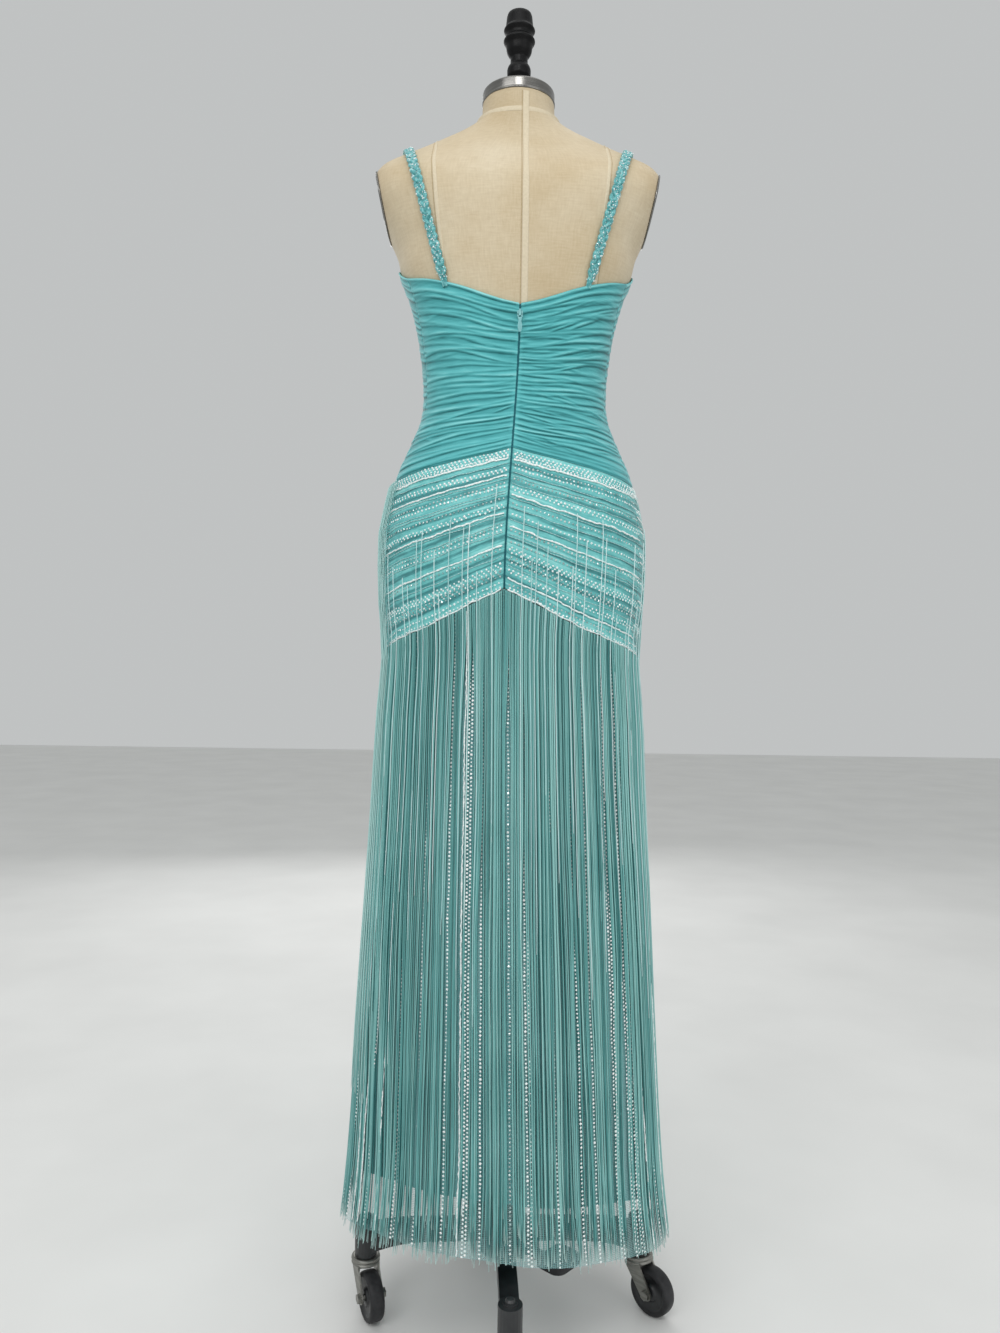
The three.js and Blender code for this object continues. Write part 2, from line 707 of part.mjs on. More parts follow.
const uncut = torsoBeforeCuts();
const beside = 200;
const torso = uncut.subtract(armholeSlab(1, 0, beside)).subtract(armholeSlab(-1, 0, beside));
add('form_torso', fromSolid(torso), MATERIALS.linen);
for (const [name, side] of [['left', 1], ['right', -1]]) {
  const plate = uncut.intersect(armholeSlab(side, SEAM_GAP, SEAM_GAP + PLATE.thick));
  add(`arm_plate_${name}`, fromSolid(plate), MATERIALS.steel);
}

const CAP = { radius: 50, height: 16.2, edge: 1.5 };
const capBottom = NECK_TOP + SEAM_GAP;
const capTop = capBottom + CAP.height;
add('neck_cap', turned([
  [0, capBottom],
  [CAP.radius, capBottom],
  [CAP.radius, capTop - CAP.edge],
  [CAP.radius - CAP.edge, capTop],
  [0, capTop],
], 36), MATERIALS.steel);

// The finial's turned profile: radius at each height above the cap.
const FINIAL = table(['radius', 'up'], [
  [14, 0.3],
  [15.5, 6],
  [13, 13],
  [13, 20],
  [16, 26],
  [16.3, 33],
  [15, 38],
  [12, 42.5],
  [11.8, 50],
  [14.5, 54],
  [17, 59],
  [18.4, 67],
  [21.7, 73.5],
  [18.1, 80],
  [21.5, 88.3],
  [19.2, 92.5],
  [18.2, 100],
  [17.4, 107],
  [16.2, 110.5],
]);
const finialScale = (TOTAL_HEIGHT - capTop) / FINIAL[FINIAL.length - 1].up;
const finialProfile = FINIAL.map(({ radius, up }) => [radius, capTop + up * finialScale]);
finialProfile.unshift([0, finialProfile[0][1]]);
finialProfile.push([0, TOTAL_HEIGHT]);
add('finial', turned(finialProfile, 18), MATERIALS.blackPaint);

// ---------------------------------------------------------------- pole, column and hub

const POLE = { radius: 12.5, bottom: 330, flange: 45, flangeThick: 6 };
const COLUMN = { inner: 14, outer: 17.5, bottom: 92, top: 540 };
const HUB = { radius: 34, bottom: 84, top: 128, edgeIn: 5, edgeDown: 4 };
const poleTop = TORSO_BOTTOM - SEAM_GAP;

add('pole', turned([
  [0, POLE.bottom],
  [POLE.radius, POLE.bottom],
  [POLE.radius, poleTop - POLE.flangeThick],
  [POLE.flange, poleTop - POLE.flangeThick],
  [POLE.flange, poleTop],
  [0, poleTop],
], 16), MATERIALS.greySteel);

add('column', turned([
  [COLUMN.inner, COLUMN.bottom],
  [COLUMN.outer, COLUMN.bottom],
  [COLUMN.outer, COLUMN.top],
  [COLUMN.inner, COLUMN.top],
  [COLUMN.inner, COLUMN.bottom],
], 16), MATERIALS.blackPaint);

const COLLAR = { radius: 24.5, foot: 23, head: 22, bottom: 515, edge: 3, shoulder: 535 };
const columnClear = COLUMN.outer + SEAM_GAP;
add('column_collar', turned([
  [columnClear, COLLAR.bottom],
  [COLLAR.foot, COLLAR.bottom],
  [COLLAR.radius, COLLAR.bottom + COLLAR.edge],
  [COLLAR.radius, COLLAR.shoulder],
  [COLLAR.head, COLUMN.top],
  [columnClear, COLUMN.top],
  [columnClear, COLLAR.bottom],
], 16), MATERIALS.blackPaint);

const PEDAL = { axis: 42, z: 100, barrel: 6, barrelHalf: 12, bore: 3.3, pin: 3, armEnd: 92 };
const EAR = { from: 26, to: 48, bottom: 92, top: 107, out: 16 };
const pedalTurn = THREE.MathUtils.degToRad(BASE_TURN + 135);
const hubBody = turned([
  [0, HUB.bottom],
  [HUB.radius, HUB.bottom],
  [HUB.radius, HUB.top - HUB.edgeDown],
  [HUB.radius - HUB.edgeIn, HUB.top],
  [columnClear, HUB.top],
  [columnClear, COLUMN.bottom - SEAM_GAP],
  [0, COLUMN.bottom - SEAM_GAP],
], 16);
const earPin = cylinderY(PEDAL.pin, -EAR.out, EAR.out, 12).translate(PEDAL.axis, 0, PEDAL.z);
const ears = [1, -1].map((side) => {
  const near = side * (PEDAL.barrelHalf + SEAM_GAP);
  const far = side * EAR.out;
  const [low, high] = [Math.min(near, far), Math.max(near, far)];
  return box(EAR.from, EAR.to, low, high, EAR.bottom, EAR.top).rotateZ(pedalTurn);
});
add('hub', joined(hubBody, ...ears, earPin.rotateZ(pedalTurn)), MATERIALS.blackPaint);

// ---------------------------------------------------------------- legs

const SOCKET = { radius: 15, bottom: 76, top: 124 };
const BAR = { halfWidth: 12, start: 34.6, end: LEG_REACH - 8 };
const BAR_UNDER = { start: 98, bendFrom: 110, bendZ: 97, bend: [150, 95], end: 82 };
const BAR_OVER = { start: 121, bendFrom: 130, bendZ: 120, bend: [160, 119], end: 114 };
const WASHER = { radius: 9, sunk: 1, proud: 2 };
const BOLT = { radius: 6.5, crown: 4.5, from: 120, shoulder: 128, edge: 130.5, top: 131.5 };
const LEGS = [
  { name: 'left', turn: 0, caster: 116 },
  { name: 'back', turn: 90, caster: 200 },
  { name: 'right', turn: 180, caster: 135 },
  { name: 'front', turn: 270, caster: 20 },
];

// A cast bar, seen from its side: it deepens towards the caster's socket.
function legGeometry() {
  const shape = new THREE.Shape();
  shape.moveTo(BAR.start, BAR_UNDER.start);
  shape.lineTo(BAR_UNDER.bendFrom, BAR_UNDER.bendZ);
  shape.quadraticCurveTo(...BAR_UNDER.bend, BAR.end, BAR_UNDER.end);
  shape.lineTo(BAR.end, BAR_OVER.end);
  shape.quadraticCurveTo(...BAR_OVER.bend, BAR_OVER.bendFrom, BAR_OVER.bendZ);
  shape.lineTo(BAR.start, BAR_OVER.start);
  const bar = new THREE.ExtrudeGeometry(shape, {
    depth: 2 * BAR.halfWidth, bevelEnabled: false, curveSegments: 5,
  }).rotateX(Math.PI / 2).translate(0, BAR.halfWidth, 0);
  const socket = cylinderZ(SOCKET.radius, SOCKET.bottom, SOCKET.top, 20);
  const washer = cylinderZ(
    WASHER.radius, SOCKET.top - WASHER.sunk, SOCKET.top + WASHER.proud, 16,
  );
  const bolt = turned([
    [0, BOLT.from],
    [BOLT.radius, BOLT.from],
    [BOLT.radius, BOLT.shoulder],
    [BOLT.crown, BOLT.edge],
    [0, BOLT.top],
  ], 12);
  const end = joined(socket, washer, bolt).translate(LEG_REACH, 0, 0);
  return joined(bar, end);
}

function atLeg(turn) {
  const group = new THREE.Group();
  group.rotation.z = THREE.MathUtils.degToRad(BASE_TURN + turn);
  gown.add(group);
  return group;
}

// ---------------------------------------------------------------- casters

const axleZ = WHEEL_RADIUS * Math.cos(Math.PI / WHEEL_FACETS); // the tread's facets rest on the floor
const CHEEK = { in: 12.8, out: 15.3, back: -12, front: 14, shoulder: 62, top: 68, eye: 8 };
const CHEEK_NECK = { x: CASTER_TRAIL - 8, z: 26 };
const CROWN = { radius: 17, bottom: 66, bridgeBottom: 65 };
const AXLE = { radius: 4, nut: 6.5, end: 19.5, nutSunk: 0.5, running: 0.3 };

function forkGeometry() {
  const crown = cylinderZ(CROWN.radius, CROWN.bottom, SOCKET.bottom - SEAM_GAP, 16);
  const bridge = box(
    CHEEK.back, CHEEK.front, -CHEEK.out, CHEEK.out, CROWN.bridgeBottom, CHEEK.top,
  );
  const shape = new THREE.Shape();
  shape.moveTo(CHEEK.back, CHEEK.top);
  shape.lineTo(CHEEK.back, CHEEK.shoulder);
  shape.lineTo(CHEEK_NECK.x, CHEEK_NECK.z);
  shape.absarc(CASTER_TRAIL, axleZ, CHEEK.eye, Math.PI * 1.15, Math.PI * 2.1, false);
  shape.lineTo(CHEEK.front, CHEEK.shoulder);
  shape.lineTo(CHEEK.front, CHEEK.top);
  const cheeks = [CHEEK.out, -CHEEK.in].map((y) => new THREE.ExtrudeGeometry(shape, {
    depth: CHEEK.out - CHEEK.in, bevelEnabled: false, curveSegments: 4,
  }).rotateX(Math.PI / 2).translate(0, y, 0));
  const axle = cylinderY(AXLE.radius, -CHEEK.out, CHEEK.out, 12).translate(CASTER_TRAIL, 0, axleZ);
  const nutFrom = CHEEK.out - AXLE.nutSunk;
  const nuts = [[-AXLE.end, -nutFrom], [nutFrom, AXLE.end]].map(
    ([from, to]) => cylinderY(AXLE.nut, from, to, 6).translate(CASTER_TRAIL, 0, axleZ),
  );
  return joined(crown, bridge, ...cheeks, axle, ...nuts);
}

// The wheel turns on the axle with a running clearance. This is half of its section.
const WHEEL_SIDE = table(['radius', 'sideways'], [
  [AXLE.radius + AXLE.running, 10],
  [11, 10],
  [13, 8],
  [23, 8],
  [25, 11],
  [WHEEL_RADIUS, 7],
]);

function wheelGeometry() {
  const profile = WHEEL_SIDE.map(({ radius, sideways }) => [radius, -sideways]);
  const back = [...WHEEL_SIDE].reverse().map(({ radius, sideways }) => [radius, sideways]);
  profile.push(...back, profile[0]);
  const points = profile.map(([radius, y]) => new THREE.Vector2(radius, y));
  const start = Math.PI / WHEEL_FACETS;
  return mergeVertices(stripped(new THREE.LatheGeometry(points, WHEEL_FACETS, start)), 1e-4);
}

for (const { name, turn, caster } of LEGS) {
  const leg = atLeg(turn);
  add(`leg_${name}`, legGeometry(), MATERIALS.blackPaint, leg);
  const swivel = new THREE.Group();
  swivel.position.x = LEG_REACH;
  swivel.rotation.z = THREE.MathUtils.degToRad(caster - BASE_TURN - turn);
  leg.add(swivel);
  add(`fork_${name}`, forkGeometry(), MATERIALS.greySteel, swivel);
  add(`wheel_${name}`, wheelGeometry(), MATERIALS.rubber, swivel).position.set(CASTER_TRAIL, 0, axleZ);
}

// ---------------------------------------------------------------- foot pedal

const ARM = { start: 4, halfWidth: 8, bottom: -5, top: 1 };
const PAD = { from: 78, to: 120, halfWidth: 26, round: 14, corner: 6, thick: 9 };
const RIBS = { count: 5, from: 81.5, wide: 3.5, step: 8, halfLength: 18, bottom: 8.5, top: 10.5 };
const pedal = atLeg(135);
const barrel = toSolid(cylinderY(PEDAL.barrel, -PEDAL.barrelHalf, PEDAL.barrelHalf, 16))
  .subtract(toSolid(cylinderY(PEDAL.bore, -20, 20, 16)));
const armBar = toSolid(box(
  ARM.start, PEDAL.armEnd - PEDAL.axis, -ARM.halfWidth, ARM.halfWidth, ARM.bottom, ARM.top,
));
const arm = barrel.add(armBar);
add('pedal_arm', fromSolid(arm), MATERIALS.blackPaint, pedal).position.set(PEDAL.axis, 0, PEDAL.z);

// A rounded rubber pad with raised ribs, on top of the arm.
function padGeometry() {
  const { from, to, halfWidth, round, corner } = PAD;
  const shape = new THREE.Shape();
  shape.moveTo(from + corner, -halfWidth);
  shape.lineTo(to - round, -halfWidth);
  shape.absarc(to - round, -halfWidth + round, round, -Math.PI / 2, 0, false);
  shape.lineTo(to, halfWidth - round);
  shape.absarc(to - round, halfWidth - round, round, 0, Math.PI / 2, false);
  shape.lineTo(from + corner, halfWidth);
  shape.lineTo(from, halfWidth - corner);
  shape.lineTo(from, -halfWidth + corner);
  const body = new THREE.ExtrudeGeometry(shape, {
    depth: PAD.thick, bevelEnabled: false, curveSegments: 6,
  });
  const ribs = Array.from({ length: RIBS.count }, (_, i) => {
    const start = RIBS.from + RIBS.step * i;
    return box(
      start, start + RIBS.wide, -RIBS.halfLength, RIBS.halfLength, RIBS.bottom, RIBS.top,
    );
  });
  return joined(body, ...ribs);
}

add('pedal_pad', padGeometry(), MATERIALS.rubber, pedal).position.z = PEDAL.z + ARM.top + SEAM_GAP;

export default gown;
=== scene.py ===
"""A fringed mermaid gown on a limbless dress form, whose stand has four casters and a foot pedal.

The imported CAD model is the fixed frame. The soft pieces here follow the same tables as the model:
heights and widths in millimetres, +Z up, the gown's front towards -Y and its left side towards +X.
"""
import math

import bpy
import numpy as np
from mathutils import Matrix


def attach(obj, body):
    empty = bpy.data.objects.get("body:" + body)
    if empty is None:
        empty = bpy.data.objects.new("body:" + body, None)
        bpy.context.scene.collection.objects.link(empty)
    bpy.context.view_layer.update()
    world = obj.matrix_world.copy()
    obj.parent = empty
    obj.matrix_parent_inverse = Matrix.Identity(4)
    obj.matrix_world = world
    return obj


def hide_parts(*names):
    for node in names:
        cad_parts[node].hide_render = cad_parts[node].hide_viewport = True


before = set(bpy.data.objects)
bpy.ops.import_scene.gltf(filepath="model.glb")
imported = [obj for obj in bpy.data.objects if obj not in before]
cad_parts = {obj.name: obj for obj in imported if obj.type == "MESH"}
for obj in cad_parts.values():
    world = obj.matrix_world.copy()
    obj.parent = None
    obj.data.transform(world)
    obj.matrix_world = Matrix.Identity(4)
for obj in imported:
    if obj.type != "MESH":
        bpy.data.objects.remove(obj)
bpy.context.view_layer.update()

MM = 0.001
TAU = 2 * math.pi


def unit(vectors):
    """The same directions, one long. The last axis is x, y and z."""
    return vectors / np.linalg.norm(vectors, axis=-1, keepdims=True)


def hump(x, width):
    """A smooth hump: 1 at nought, and all but gone at twice its width."""
    return np.exp(-((x / width) ** 2))


def ease(t):
    """From 0 to 1, level at both ends."""
    return t * t * (3 - 2 * t)


def path_lengths(paths):
    """How far along its path each point lies. The last axes are the points and x, y and z."""
    steps = np.linalg.norm(np.diff(paths, axis=-2), axis=-1)
    return np.concatenate([np.zeros_like(steps[..., :1]), np.cumsum(steps, axis=-1)], axis=-1)


def between(places, known, rows):
    """The rows' values at places that lie between the known ones."""
    return np.stack([np.interp(places, known, column) for column in rows.T], axis=-1)


# ---------------------------------------------------------------- the figure's tables

# Height, half width, depth behind and in front of the middle, and how square the section is.
FIGURE = np.array([
    (100, 223, 172, 160, 2.1),
    (147, 216, 166, 155, 2.1),
    (188, 211, 162, 151, 2.1),
    (230, 207.4, 158, 148, 2.1),
    (312, 201.7, 153, 144, 2.15),
    (395, 197.7, 149, 140, 2.15),
    (560, 188.7, 141, 132, 2.2),
    (725, 179.7, 133, 124, 2.2),
    (808, 175.7, 129, 119, 2.25),
    (890, 168.7, 126, 112, 2.3),
    (911, 168, 126.5, 111, 2.3),
    (973, 174.5, 130, 109, 2.3),
    (1035, 176, 131, 107, 2.3),
    (1055, 175.5, 130, 106.5, 2.3),
    (1097, 168, 124, 106, 2.3),
    (1138, 158, 114, 105, 2.3),
    (1179, 141, 102, 103, 2.25),
    (1220, 126, 93, 99, 2.2),
    (1241, 123.6, 91, 98, 2.2),
    (1262, 124, 91, 98, 2.2),
    (1303, 128, 94, 100, 2.3),
    (1344, 135, 98, 103, 2.4),
    (1386, 147, 102, 105, 2.5),
    (1413, 158, 104, 105, 2.6),
    (1439, 164, 105, 104, 2.6),
    (1459, 172, 105, 102, 2.7),
    (1484, 184, 104, 97, 2.8),
    (1515, 196, 98, 88, 3.0),
    (1537, 198, 86, 76, 3.0),
    (1552, 191, 75, 67, 2.9),
    (1566, 172, 65, 60, 2.6),
    (1580, 144, 58, 54, 2.35),
    (1594, 114, 54, 52, 2.2),
    (1607, 86, 51.8, 51, 2.05),
    (1619, 65, 51, 50.8, 2.0),
    (1630, 53.4, 50.8, 50.7, 2.0),
    (1640, 51, 50.7, 50.7, 2.0),
    (1652, 50.6, 50.6, 50.6, 2.0),
])
BUST_Z, BUST_X = 1377, 70
BUST_DEPTH, BUST_WIDE, BUST_TALL = 32, 46, 56

# Share of a turn from the centre back, then heights of the neckline, waist seam and yoke hem.
EDGES = np.array([
    (0, 1347, 1160, 979),
    (0.025, 1351, 1154, 968),
    (0.05, 1357, 1149, 956),
    (0.1, 1372, 1140, 933),
    (0.15, 1385, 1132, 917),
    (0.2, 1397, 1126, 903),
    (0.25, 1421, 1122, 892),
    (0.3, 1439, 1116, 882),
    (0.35, 1455, 1109, 872),
    (0.4, 1466, 1102, 862),
    (0.45, 1454, 1095, 853),
    (0.5, 1430, 1089, 846),
])

# Share of a turn, then heights of the net skirt's hem and of the fringe's ends.
HEMS = np.array([
    (0, 160, 164),
    (0.125, 165, 155),
    (0.25, 148, 150),
    (0.375, 148, 148),
    (0.5, 150, 148),
    (0.625, 140, 135),
    (0.75, 124, 121),
    (0.875, 142, 148),
    (1, 160, 164),
])

# The gown sits slightly twisted: height, and how far its centre back drifts to its left.
DRIFT = np.array([(100, 0), (979, 11), (1347, -4.5), (1500, -4.5)])

FLUTE_TOP, FLUTE_BOTTOM, FLUTE_DEPTH = 850, 150, 4
LINING_RISE = 68
UPPER_FRINGE_FROM, UPPER_FRINGE_TO, UPPER_FRINGE_LENGTH = 0.175, 0.75, 810
SIDE_SEAM = 0.2
EDGE_INSET = 0.15
ZIP_INSET = 1.15
TORSO_OUT = -1.6

# Lengths of one turn round the gown, near enough to space things by.
BODICE_ROUND, YOKE_ROUND, FRINGE_ROUND, NET_ROUND = 900, 960, 1040, 1080
PANEL_TALL, BACK_WIDE, YOKE_TALL = 230, 175, 190

# Random hills repeat after this many, which is also how many lie in one turn round the gown.
HILL_COUNT = 64


# ---------------------------------------------------------------- curves and the figure

def curve_through(rows, column):
    """A smooth curve through a table's first column and another, with no overshoot."""
    xs = rows[:, 0].astype(float)
    ys = rows[:, column].astype(float)
    rise = np.diff(ys) / np.diff(xs)
    slopes = np.concatenate([[rise[0]], np.zeros(len(xs) - 2), [rise[-1]]])
    before = rise[:-1]
    after = rise[1:]
    turns_back = before * after <= 0
    total = np.where(turns_back, 1, before + after)
    slopes[1:-1] = np.where(turns_back, 0, 2 * before * after / total)

    def curve(x):
        x = np.asarray(x, float)
        i = np.clip(np.searchsorted(xs, x) - 1, 0, len(xs) - 2)
        width = xs[i + 1] - xs[i]
        t = np.clip((x - xs[i]) / width, 0, 1)
        blend = ease(t)
        level = ys[i] * (1 - blend) + ys[i + 1] * blend
        return level + width * t * (1 - t) * ((1 - t) * slopes[i] - t * slopes[i + 1])

    return curve


half_at = curve_through(FIGURE, 1)
back_at = curve_through(FIGURE, 2)
front_at = curve_through(FIGURE, 3)
power_at = curve_through(FIGURE, 4)
drift_at = curve_through(DRIFT, 1)


def bust_at(x, z):
    """How far the bust stands out of the plain section, x mm to the left."""
    across = (x - BUST_X) / BUST_WIDE
    up = (z - BUST_Z) / BUST_TALL
    return BUST_DEPTH * np.exp(-(across ** 2 + up ** 2) / 2)


def squareness(x, y, z):
    """Less than 1 inside the figure's section without the bust, and more outside it."""
    depth = np.where(y >= 0, back_at(z), front_at(z))
    power = power_at(z)
    return (np.abs(x) / half_at(z)) ** power + (np.abs(y) / depth) ** power


def both_sides(curve):
    return lambda around: curve(0.5 - np.abs(np.mod(around, 1) - 0.5))


def all_round(curve):
    return lambda around: curve(np.mod(around, 1))


neckline_at = both_sides(curve_through(EDGES, 1))
waist_seam_at = both_sides(curve_through(EDGES, 2))
yoke_hem_at = both_sides(curve_through(EDGES, 3))
mesh_hem_at = all_round(curve_through(HEMS, 1))
fringe_hem_at = all_round(curve_through(HEMS, 2))

FIGURE_ROW = 3
QUARTER_STEPS = 96
QUARTER_PLACES = 160


def quarter_sections(heights, is_front):
    """For each height, points and outward normals at equal steps along a quarter section."""
    turn = np.linspace(0, math.pi / 2, QUARTER_STEPS + 1)[None, :]
    half = half_at(heights)[:, None]
    depth = (front_at if is_front else back_at)(heights)[:, None]
    power = 2 / power_at(heights)[:, None]
    x = half * np.sin(turn) ** power
    y = depth * np.clip(np.cos(turn), 0, 1) ** power
    if is_front:
        y = y + bust_at(x, heights[:, None]) * np.minimum(1, 1.6 * np.cos(turn))
    y[:, -1] = 0
    length = np.zeros_like(x)
    length[:, 1:] = np.cumsum(np.hypot(np.diff(x), np.diff(y)), axis=1)
    nx = np.zeros_like(x)
    ny = np.ones_like(x)
    dx = x[:, 2:] - x[:, :-2]
    dy = y[:, 2:] - y[:, :-2]
    size = np.hypot(dx, dy)
    nx[:, 1:-1] = -dy / size
    ny[:, 1:-1] = dx / size
    nx[:, -1] = 1
    ny[:, -1] = 0
    shares = np.linspace(0, 1, QUARTER_PLACES + 1)
    sections = np.empty((4, len(heights), QUARTER_PLACES + 1))
    for row in range(len(heights)):
        places = shares * length[row, -1]
        for k, values in enumerate((x, y, nx, ny)):
            sections[k, row] = np.interp(places, length[row], values[row])
    return sections, length[:, -1]


figure_heights = np.arange(100.0, 1653.0, FIGURE_ROW)
back_sections, back_lengths = quarter_sections(figure_heights, False)
front_sections, _ = quarter_sections(figure_heights, True)
front_sections[1] *= -1
front_sections[3] *= -1
# Half a turn, from the centre back by way of the left side to the centre front.
half_turn = np.concatenate([back_sections, front_sections[:, :, -2::-1]], axis=2)


def figure_frame(z, around):
    """The figure's point and outward direction: x, y, normal x, normal y."""
    z, around = np.broadcast_arrays(np.asarray(z, float), np.asarray(around, float))
    turn = np.mod(around, 1)
    side = np.where(turn <= 0.5, 1.0, -1.0)
    place = (0.5 - np.abs(turn - 0.5)) * 4 * QUARTER_PLACES
    row = np.clip((z - figure_heights[0]) / FIGURE_ROW, 0, len(figure_heights) - 1.001)
    i = row.astype(int)
    j = np.clip(place.astype(int), 0, 2 * QUARTER_PLACES - 1)
    s = row - i
    t = place - j
    low = half_turn[:, i, j] * (1 - t) + half_turn[:, i, j + 1] * t
    high = half_turn[:, i + 1, j] * (1 - t) + half_turn[:, i + 1, j + 1] * t
    x, y, nx, ny = low * (1 - s) + high * s
    size = np.hypot(nx, ny)
    return side * x, y, side * nx / size, ny / size


def turn_per_mm(z):
    return 0.25 / np.interp(z, figure_heights, back_lengths)


def flute_at(z, around):
    """The skirt's long soft flutes, deepest at the hem."""
    down = np.clip((FLUTE_TOP - z) / (FLUTE_TOP - FLUTE_BOTTOM), 0, 1)
    turn = TAU * around
    wave = 0.6 * np.cos(5 * turn + 0.7) + 0.4 * np.cos(8 * turn + 2.1)
    return FLUTE_DEPTH * down * down * wave


def on_gown(z, around, out, inset=0.0):
    """Points of the gown, with the outward direction at each."""
    z = np.asarray(z, float)
    place = around + (drift_at(z) + inset) * turn_per_mm(z)
    x, y, nx, ny = figure_frame(z, place)
    reach = out + flute_at(z, around)
    points = np.stack(np.broadcast_arrays(x + reach * nx, y + reach * ny, z), axis=-1)
    normals = np.stack(np.broadcast_arrays(nx, ny, np.zeros_like(nx)), axis=-1)
    return points, normals


class Hills:
    """Smooth random hills, from -1 to 1, one for each unit each way."""

    def __init__(self, seed):
        self.heights = np.random.default_rng(seed).uniform(-1, 1, (HILL_COUNT, HILL_COUNT))

    def level(self, i, j):
        return self.heights[i % HILL_COUNT, j % HILL_COUNT]

    def __call__(self, x, y):
        x, y = np.broadcast_arrays(np.asarray(x, float), np.asarray(y, float))
        i = np.floor(x).astype(int)
        j = np.floor(y).astype(int)
        s = ease(x - i)
        t = ease(y - j)
        low = self.level(i, j) * (1 - t) + self.level(i, j + 1) * t
        high = self.level(i + 1, j) * (1 - t) + self.level(i + 1, j + 1) * t
        return low * (1 - s) + high * s


# ---------------------------------------------------------------- meshes

def mesh_object(name, points, faces, uvs=None, values=None, smooth=True):
    """An object from points in millimetres. All faces have the same number of corners."""
    points = np.asarray(points, float).reshape(-1, 3) * MM
    faces = np.asarray(faces, int)
    mesh = bpy.data.meshes.new(name)
    mesh.vertices.add(len(points))
    mesh.vertices.foreach_set("co", points.ravel())
    mesh.loops.add(faces.size)
    mesh.loops.foreach_set("vertex_index", faces.ravel())
    mesh.polygons.add(len(faces))
    mesh.polygons.foreach_set("loop_start", np.arange(0, faces.size, faces.shape[1]))
    if uvs is not None:
        layer = mesh.uv_layers.new(name="cloth")
        corners = np.asarray(uvs, float).reshape(-1, 2)[faces.ravel()]
        layer.data.foreach_set("uv", corners.ravel())
    for key, column in (values or {}).items():
        layer = mesh.attributes.new(key, "FLOAT", "POINT")
        layer.data.foreach_set("value", np.asarray(column, float).ravel())
    mesh.polygons.foreach_set("use_smooth", np.full(len(faces), smooth))
    mesh.update(calc_edges=True)
    mesh.validate()
    made = bpy.data.objects.new(name, mesh)
    bpy.context.collection.objects.link(made)
    return made


def grid_faces(rows, columns, closed=False):
    """Quads of a grid that face outward when rows run down and columns run to the left side."""
    number = np.arange(rows * columns).reshape(rows, columns)
    if closed:
        number = np.concatenate([number, number[:, :1]], axis=1)
    a, b = number[:-1, :-1], number[:-1, 1:]
    d, c = number[1:, :-1], number[1:, 1:]
    return np.stack([a, b, c, d], axis=-1).reshape(-1, 4)


def ring_tubes(paths, radii, normals, sides):
    """Closed-section tubes along many paths of the same length: points and quads."""
    ahead = unit(np.gradient(paths, axis=1))
    across = unit(np.cross(ahead, normals))
    up = np.cross(across, ahead)
    angles = TAU * np.arange(sides) / sides
    ring = (np.cos(angles)[:, None] * across[:, :, None, :]
            + np.sin(angles)[:, None] * up[:, :, None, :])
    points = paths[:, :, None, :] + radii[..., None, None] * ring
    count, steps = paths.shape[:2]
    number = np.arange(count * steps * sides).reshape(count, steps, sides)
    turned = np.roll(number, -1, axis=2)
    a, b = number[:, :-1], turned[:, :-1]
    d, c = number[:, 1:], turned[:, 1:]
    return points, np.stack([a, b, c, d], axis=-1).reshape(-1, 4)


def tube_object(name, paths, radii, normals, sides, values=None):
    """Many tubes in one mesh. UVs are the share of a turn and the length in metres."""
    points, faces = ring_tubes(paths, radii, normals, sides)
    count, steps = paths.shape[:2]
    length = path_lengths(paths) * MM
    turn = np.broadcast_to(np.arange(sides) / sides, (count, steps, sides))
    uvs = np.stack([turn, np.broadcast_to(length[..., None], turn.shape)], axis=-1)
    spread = {key: np.broadcast_to(column[..., None], turn.shape)
              for key, column in (values or {}).items()}
    return mesh_object(name, points, faces, uvs, spread)


BEAD = np.array([(1, 0, 0), (0, 1, 0), (-1, 0, 0), (0, -1, 0), (0, 0, 1), (0, 0, -1)], float)
BEAD_FACES = np.array([(0, 1, 4), (1, 2, 4), (2, 3, 4), (3, 0, 4),
                       (1, 0, 5), (2, 1, 5), (3, 2, 5), (0, 3, 5)])


def bead_object(name, centres, normals, radii, seed, height=0.6):
    """Faceted beads that lie flat on the cloth, each turned its own way."""
    random = np.random.default_rng(seed)
    count = len(centres)
    up = unit(normals + random.normal(0, 0.16, (count, 3)))
    first = unit(np.cross(up, (0, 0, 1.0)))
    second = np.cross(up, first)
    spin = random.uniform(0, TAU, count)[:, None]
    across = np.cos(spin) * first + np.sin(spin) * second
    along = np.cross(up, across)
    axes = np.stack([across, along, up * height], axis=1)
    points = centres[:, None, :] + np.einsum("vk,nkd->nvd", BEAD, axes) * radii[:, None, None]
    faces = (BEAD_FACES[None] + 6 * np.arange(count)[:, None, None]).reshape(-1, 3)
    tone = np.repeat(random.uniform(0, 1, count), 6)
    return mesh_object(name, points, faces, values={"tone": tone}, smooth=False)


def lathe_object(name, profile, segments, axis="z"):
    """A turned piece: the profile is (radius, height) pairs, from the bottom up."""
    profile = np.asarray(profile, float)
    angles = TAU * np.arange(segments) / segments
    radius = profile[::-1, 0][:, None]
    height = np.broadcast_to(profile[::-1, 1][:, None], (len(profile), segments))
    a = radius * np.sin(angles)
    b = radius * np.cos(angles)
    parts = {"z": (a, b, height), "y": (b, height, a)}[axis]
    points = np.stack(np.broadcast_arrays(*parts), axis=-1)
    uvs = np.stack(np.broadcast_arrays(angles / TAU, height * MM), axis=-1)
    return mesh_object(name, points, grid_faces(len(profile), segments, closed=True), uvs)


# ---------------------------------------------------------------- materials

